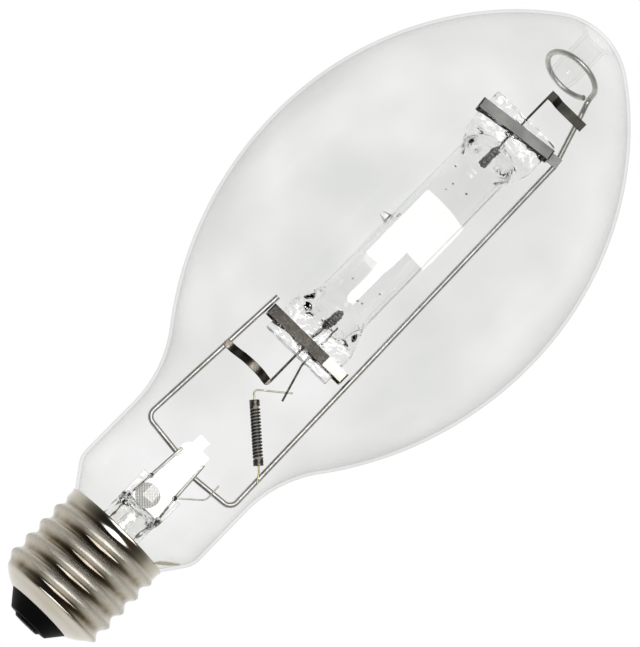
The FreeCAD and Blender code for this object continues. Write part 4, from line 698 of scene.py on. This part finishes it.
FLOOR_HEIGHT, FLOOR_HALF, DUST_PER_METRE = -60.0 * MM, 1.6, 60.0
floor_mesh = bpy.data.meshes.new("studio_floor")
floor_corners = np.array([[-1, -1], [1, -1], [1, 1], [-1, 1]]) * FLOOR_HALF
floor_mesh.from_pydata([(x, y, FLOOR_HEIGHT) for x, y in floor_corners], [], [(0, 1, 2, 3)])
floor = bpy.data.objects.new("studio_floor", floor_mesh)
bpy.context.scene.collection.objects.link(floor)
floor_paint, tree, output, place = new_material("matt_white_floor")
dust = add_node(tree, "ShaderNodeTexNoise", {"Vector": place, "Scale": DUST_PER_METRE, "Detail": 4.0})
shader = add_node(tree, "ShaderNodeBsdfPrincipled", {
    "Base Color": blend(tree, dust.outputs["Fac"], linear("#f4f4f2"), linear("#fafaf8")),
    "Roughness": 0.8})
tree.links.new(shader.outputs["BSDF"], output.inputs["Surface"])
floor_mesh.materials.append(floor_paint)
floor.visible_glossy = False
floor.visible_transmission = False

# Studio: seen directly the world is pure white. Metal and glass mirror a room that is white behind the
# lamp, grey at its sides and near black in front of it, where it is a little browner on the right. Straight
# above and below it is white, and glass that bends the light sees a plain pale room.

WHITE, ABOVE_AND_BELOW = (1.0, 1.0, 1.0, 1.0), linear("#f0eee8")
ROOM_TONES = (  # how far towards the back, from -1 in front of the lamp to 1 behind it, and the tone there
    (-0.8, "#262423"), (-0.52, "#57524b"), (-0.17, "#8b8880"), (0.05, "#bfbdb7"),
    (0.25, "#d9d7d0"), (0.5, "#eae8e4"), (0.73, "#f6f5f2"), (0.95, "#ffffff"))
world = bpy.data.worlds.new("white_studio")
bpy.context.scene.world = world
world.use_nodes = True
tree = world.node_tree
tree.nodes.clear()
direction = add_node(tree, "ShaderNodeTexCoord").outputs["Generated"]
parts = add_node(tree, "ShaderNodeSeparateXYZ", {0: direction}).outputs
flat = add_node(tree, "ShaderNodeVectorMath", {0: direction, 1: (1.0, 1.0, 0.0)}, operation="MULTIPLY")
heading = add_node(tree, "ShaderNodeVectorMath", {0: flat.outputs[0]}, operation="NORMALIZE")
towards_back = add_node(tree, "ShaderNodeSeparateXYZ", {0: heading.outputs[0]}).outputs["Y"]
ramp = add_node(tree, "ShaderNodeValToRGB", {"Fac": between(tree, towards_back, -1.0, 1.0)})
stops = ramp.color_ramp.elements
while len(stops) < len(ROOM_TONES):
    stops.new(0.5)
for stop, (backness, tone) in zip(stops, ROOM_TONES):
    stop.position = (backness + 1) / 2
    stop.color = linear(tone)
front_tone = blend(tree, between(tree, parts["X"], 0.1, 0.4), linear("#262423"), linear("#453c31"))
room = blend(tree, between(tree, towards_back, -0.85, -0.6), front_tone, ramp.outputs["Color"])
room = blend(tree, between(tree, parts["Z"], 0.95, 0.99), room, ABOVE_AND_BELOW)
room = blend(tree, between(tree, parts["Z"], -0.96, -0.86, 1.0, 0.0), room, ABOVE_AND_BELOW)
path = add_node(tree, "ShaderNodeLightPath").outputs
bent_room = blend(tree, between(tree, parts["Y"], -0.6, 0.2), linear("#c6c6c4"), WHITE)
scattered = blend(tree, path["Is Glossy Ray"], linear("#a0a0a0"), room)
bent = blend(tree, path["Is Transmission Ray"], scattered, bent_room)
backdrop = blend(tree, path["Is Camera Ray"], bent, WHITE)
background = add_node(tree, "ShaderNodeBackground", {"Color": backdrop, "Strength": 1.0})
add_node(tree, "ShaderNodeOutputWorld", {"Surface": background.outputs[0]})

# Window: the softbox beside the camera, an L of two rectangles, mirrored by every surface above the base.
# The shell mirrors a reflector card instead, which lies in front of the lamp and below it.

AIM = np.array([0, 0, LIP_HEIGHT + 128.75 * MM])
WINDOW_PLACE, WINDOW_RADIANCE = -650.0 * MM, 9.0
WINDOW_LEFT, WINDOW_CORNER, WINDOW_RIGHT = -121.0 * MM, 83.0 * MM, 258.0 * MM
WINDOW_LOW, WINDOW_STEP, WINDOW_HIGH = AIM[2] - 92.0 * MM, AIM[2] + 2.0 * MM, AIM[2] + 223.0 * MM
CARD_LEFT, CARD_RIGHT, CARD_NEAR, CARD_FAR = -60.0 * MM, 100.0 * MM, -900.0 * MM, -70.0 * MM
CARD_HEIGHT, CARD_RADIANCE = -55.0 * MM, 2.6


def light_panel(name, turned, left, right, near, far, level, radiance, shell_state):
    """A rectangular lamp whose power is its radiance times pi times its area. Turned half about X it lies
    at a height and shines up. Turned a quarter it stands at a place along Y and shines back, and its near
    and far edges are its low and high ones. The shell's state says if it alone, or all but it, is lit."""
    width, depth = right - left, far - near
    light = bpy.data.lights.new(name, "AREA")
    light.shape = "RECTANGLE"
    light.size, light.size_y = width, depth
    light.energy = radiance * np.pi * width * depth
    lamp = bpy.data.objects.new(name, light)
    bpy.context.scene.collection.objects.link(lamp)
    middle, other = (left + right) / 2, (near + far) / 2
    stands = turned == np.pi / 2
    place = (middle, level, other) if stands else (middle, other, level)
    lamp.matrix_world = Matrix.Translation(place) @ Matrix.Rotation(turned, 4, "X")
    lamp.visible_camera = False
    receivers = bpy.data.collections.new(name + "_lit")
    receivers.objects.link(shell)
    receivers.collection_objects[0].light_linking.link_state = shell_state
    lamp.light_linking.receiver_collection = receivers


light_panel("window_upper", np.pi / 2, WINDOW_LEFT, WINDOW_RIGHT, WINDOW_STEP, WINDOW_HIGH, WINDOW_PLACE,
            WINDOW_RADIANCE, "EXCLUDE")
light_panel("window_lower", np.pi / 2, WINDOW_LEFT, WINDOW_CORNER, WINDOW_LOW, WINDOW_STEP, WINDOW_PLACE,
            WINDOW_RADIANCE, "EXCLUDE")
light_panel("low_card", np.pi, CARD_LEFT, CARD_RIGHT, CARD_NEAR, CARD_FAR, CARD_HEIGHT,
            CARD_RADIANCE, "INCLUDE")
bpy.context.scene.cycles.transparent_max_bounces = 40
bpy.context.scene.view_settings.view_transform = "Standard"

# Camera: 900 mm in front of the lower part of the arc tube and a little below it, so that the dome leans
# away. The lamp's axis lies slantwise across the picture.

TILT = np.radians(11.3)
DISTANCE, FOCAL_PIXELS, PICTURE_SIDE = 900.0 * MM, 2790.0, 647.0
AXIS_RIGHT, AXIS_UP = 0.6997, 0.7145
SHIFT_RIGHT_PIXELS, SHIFT_UP_PIXELS = 0.45, 0.06
sight = np.array([0, np.cos(TILT), np.sin(TILT)])
right = AXIS_RIGHT * np.array([0, -np.sin(TILT), np.cos(TILT)]) + AXIS_UP * np.array([1.0, 0, 0])
right = right / np.linalg.norm(right)
up = np.cross(right, sight)
shift = (right * SHIFT_RIGHT_PIXELS + up * SHIFT_UP_PIXELS) * DISTANCE / FOCAL_PIXELS
eye = AIM - sight * DISTANCE - shift
lens = bpy.data.cameras.new("photo_camera")
lens.sensor_width = 36.0
lens.lens = FOCAL_PIXELS * lens.sensor_width / PICTURE_SIDE
lens.clip_end = 20.0
camera = bpy.data.objects.new("photo_camera", lens)
bpy.context.scene.collection.objects.link(camera)
rows = [(*axes, place) for axes, place in zip(np.stack([right, up, -sight], -1), eye)]
camera.matrix_world = Matrix(rows + [(0, 0, 0, 1)])
bpy.context.scene.camera = camera
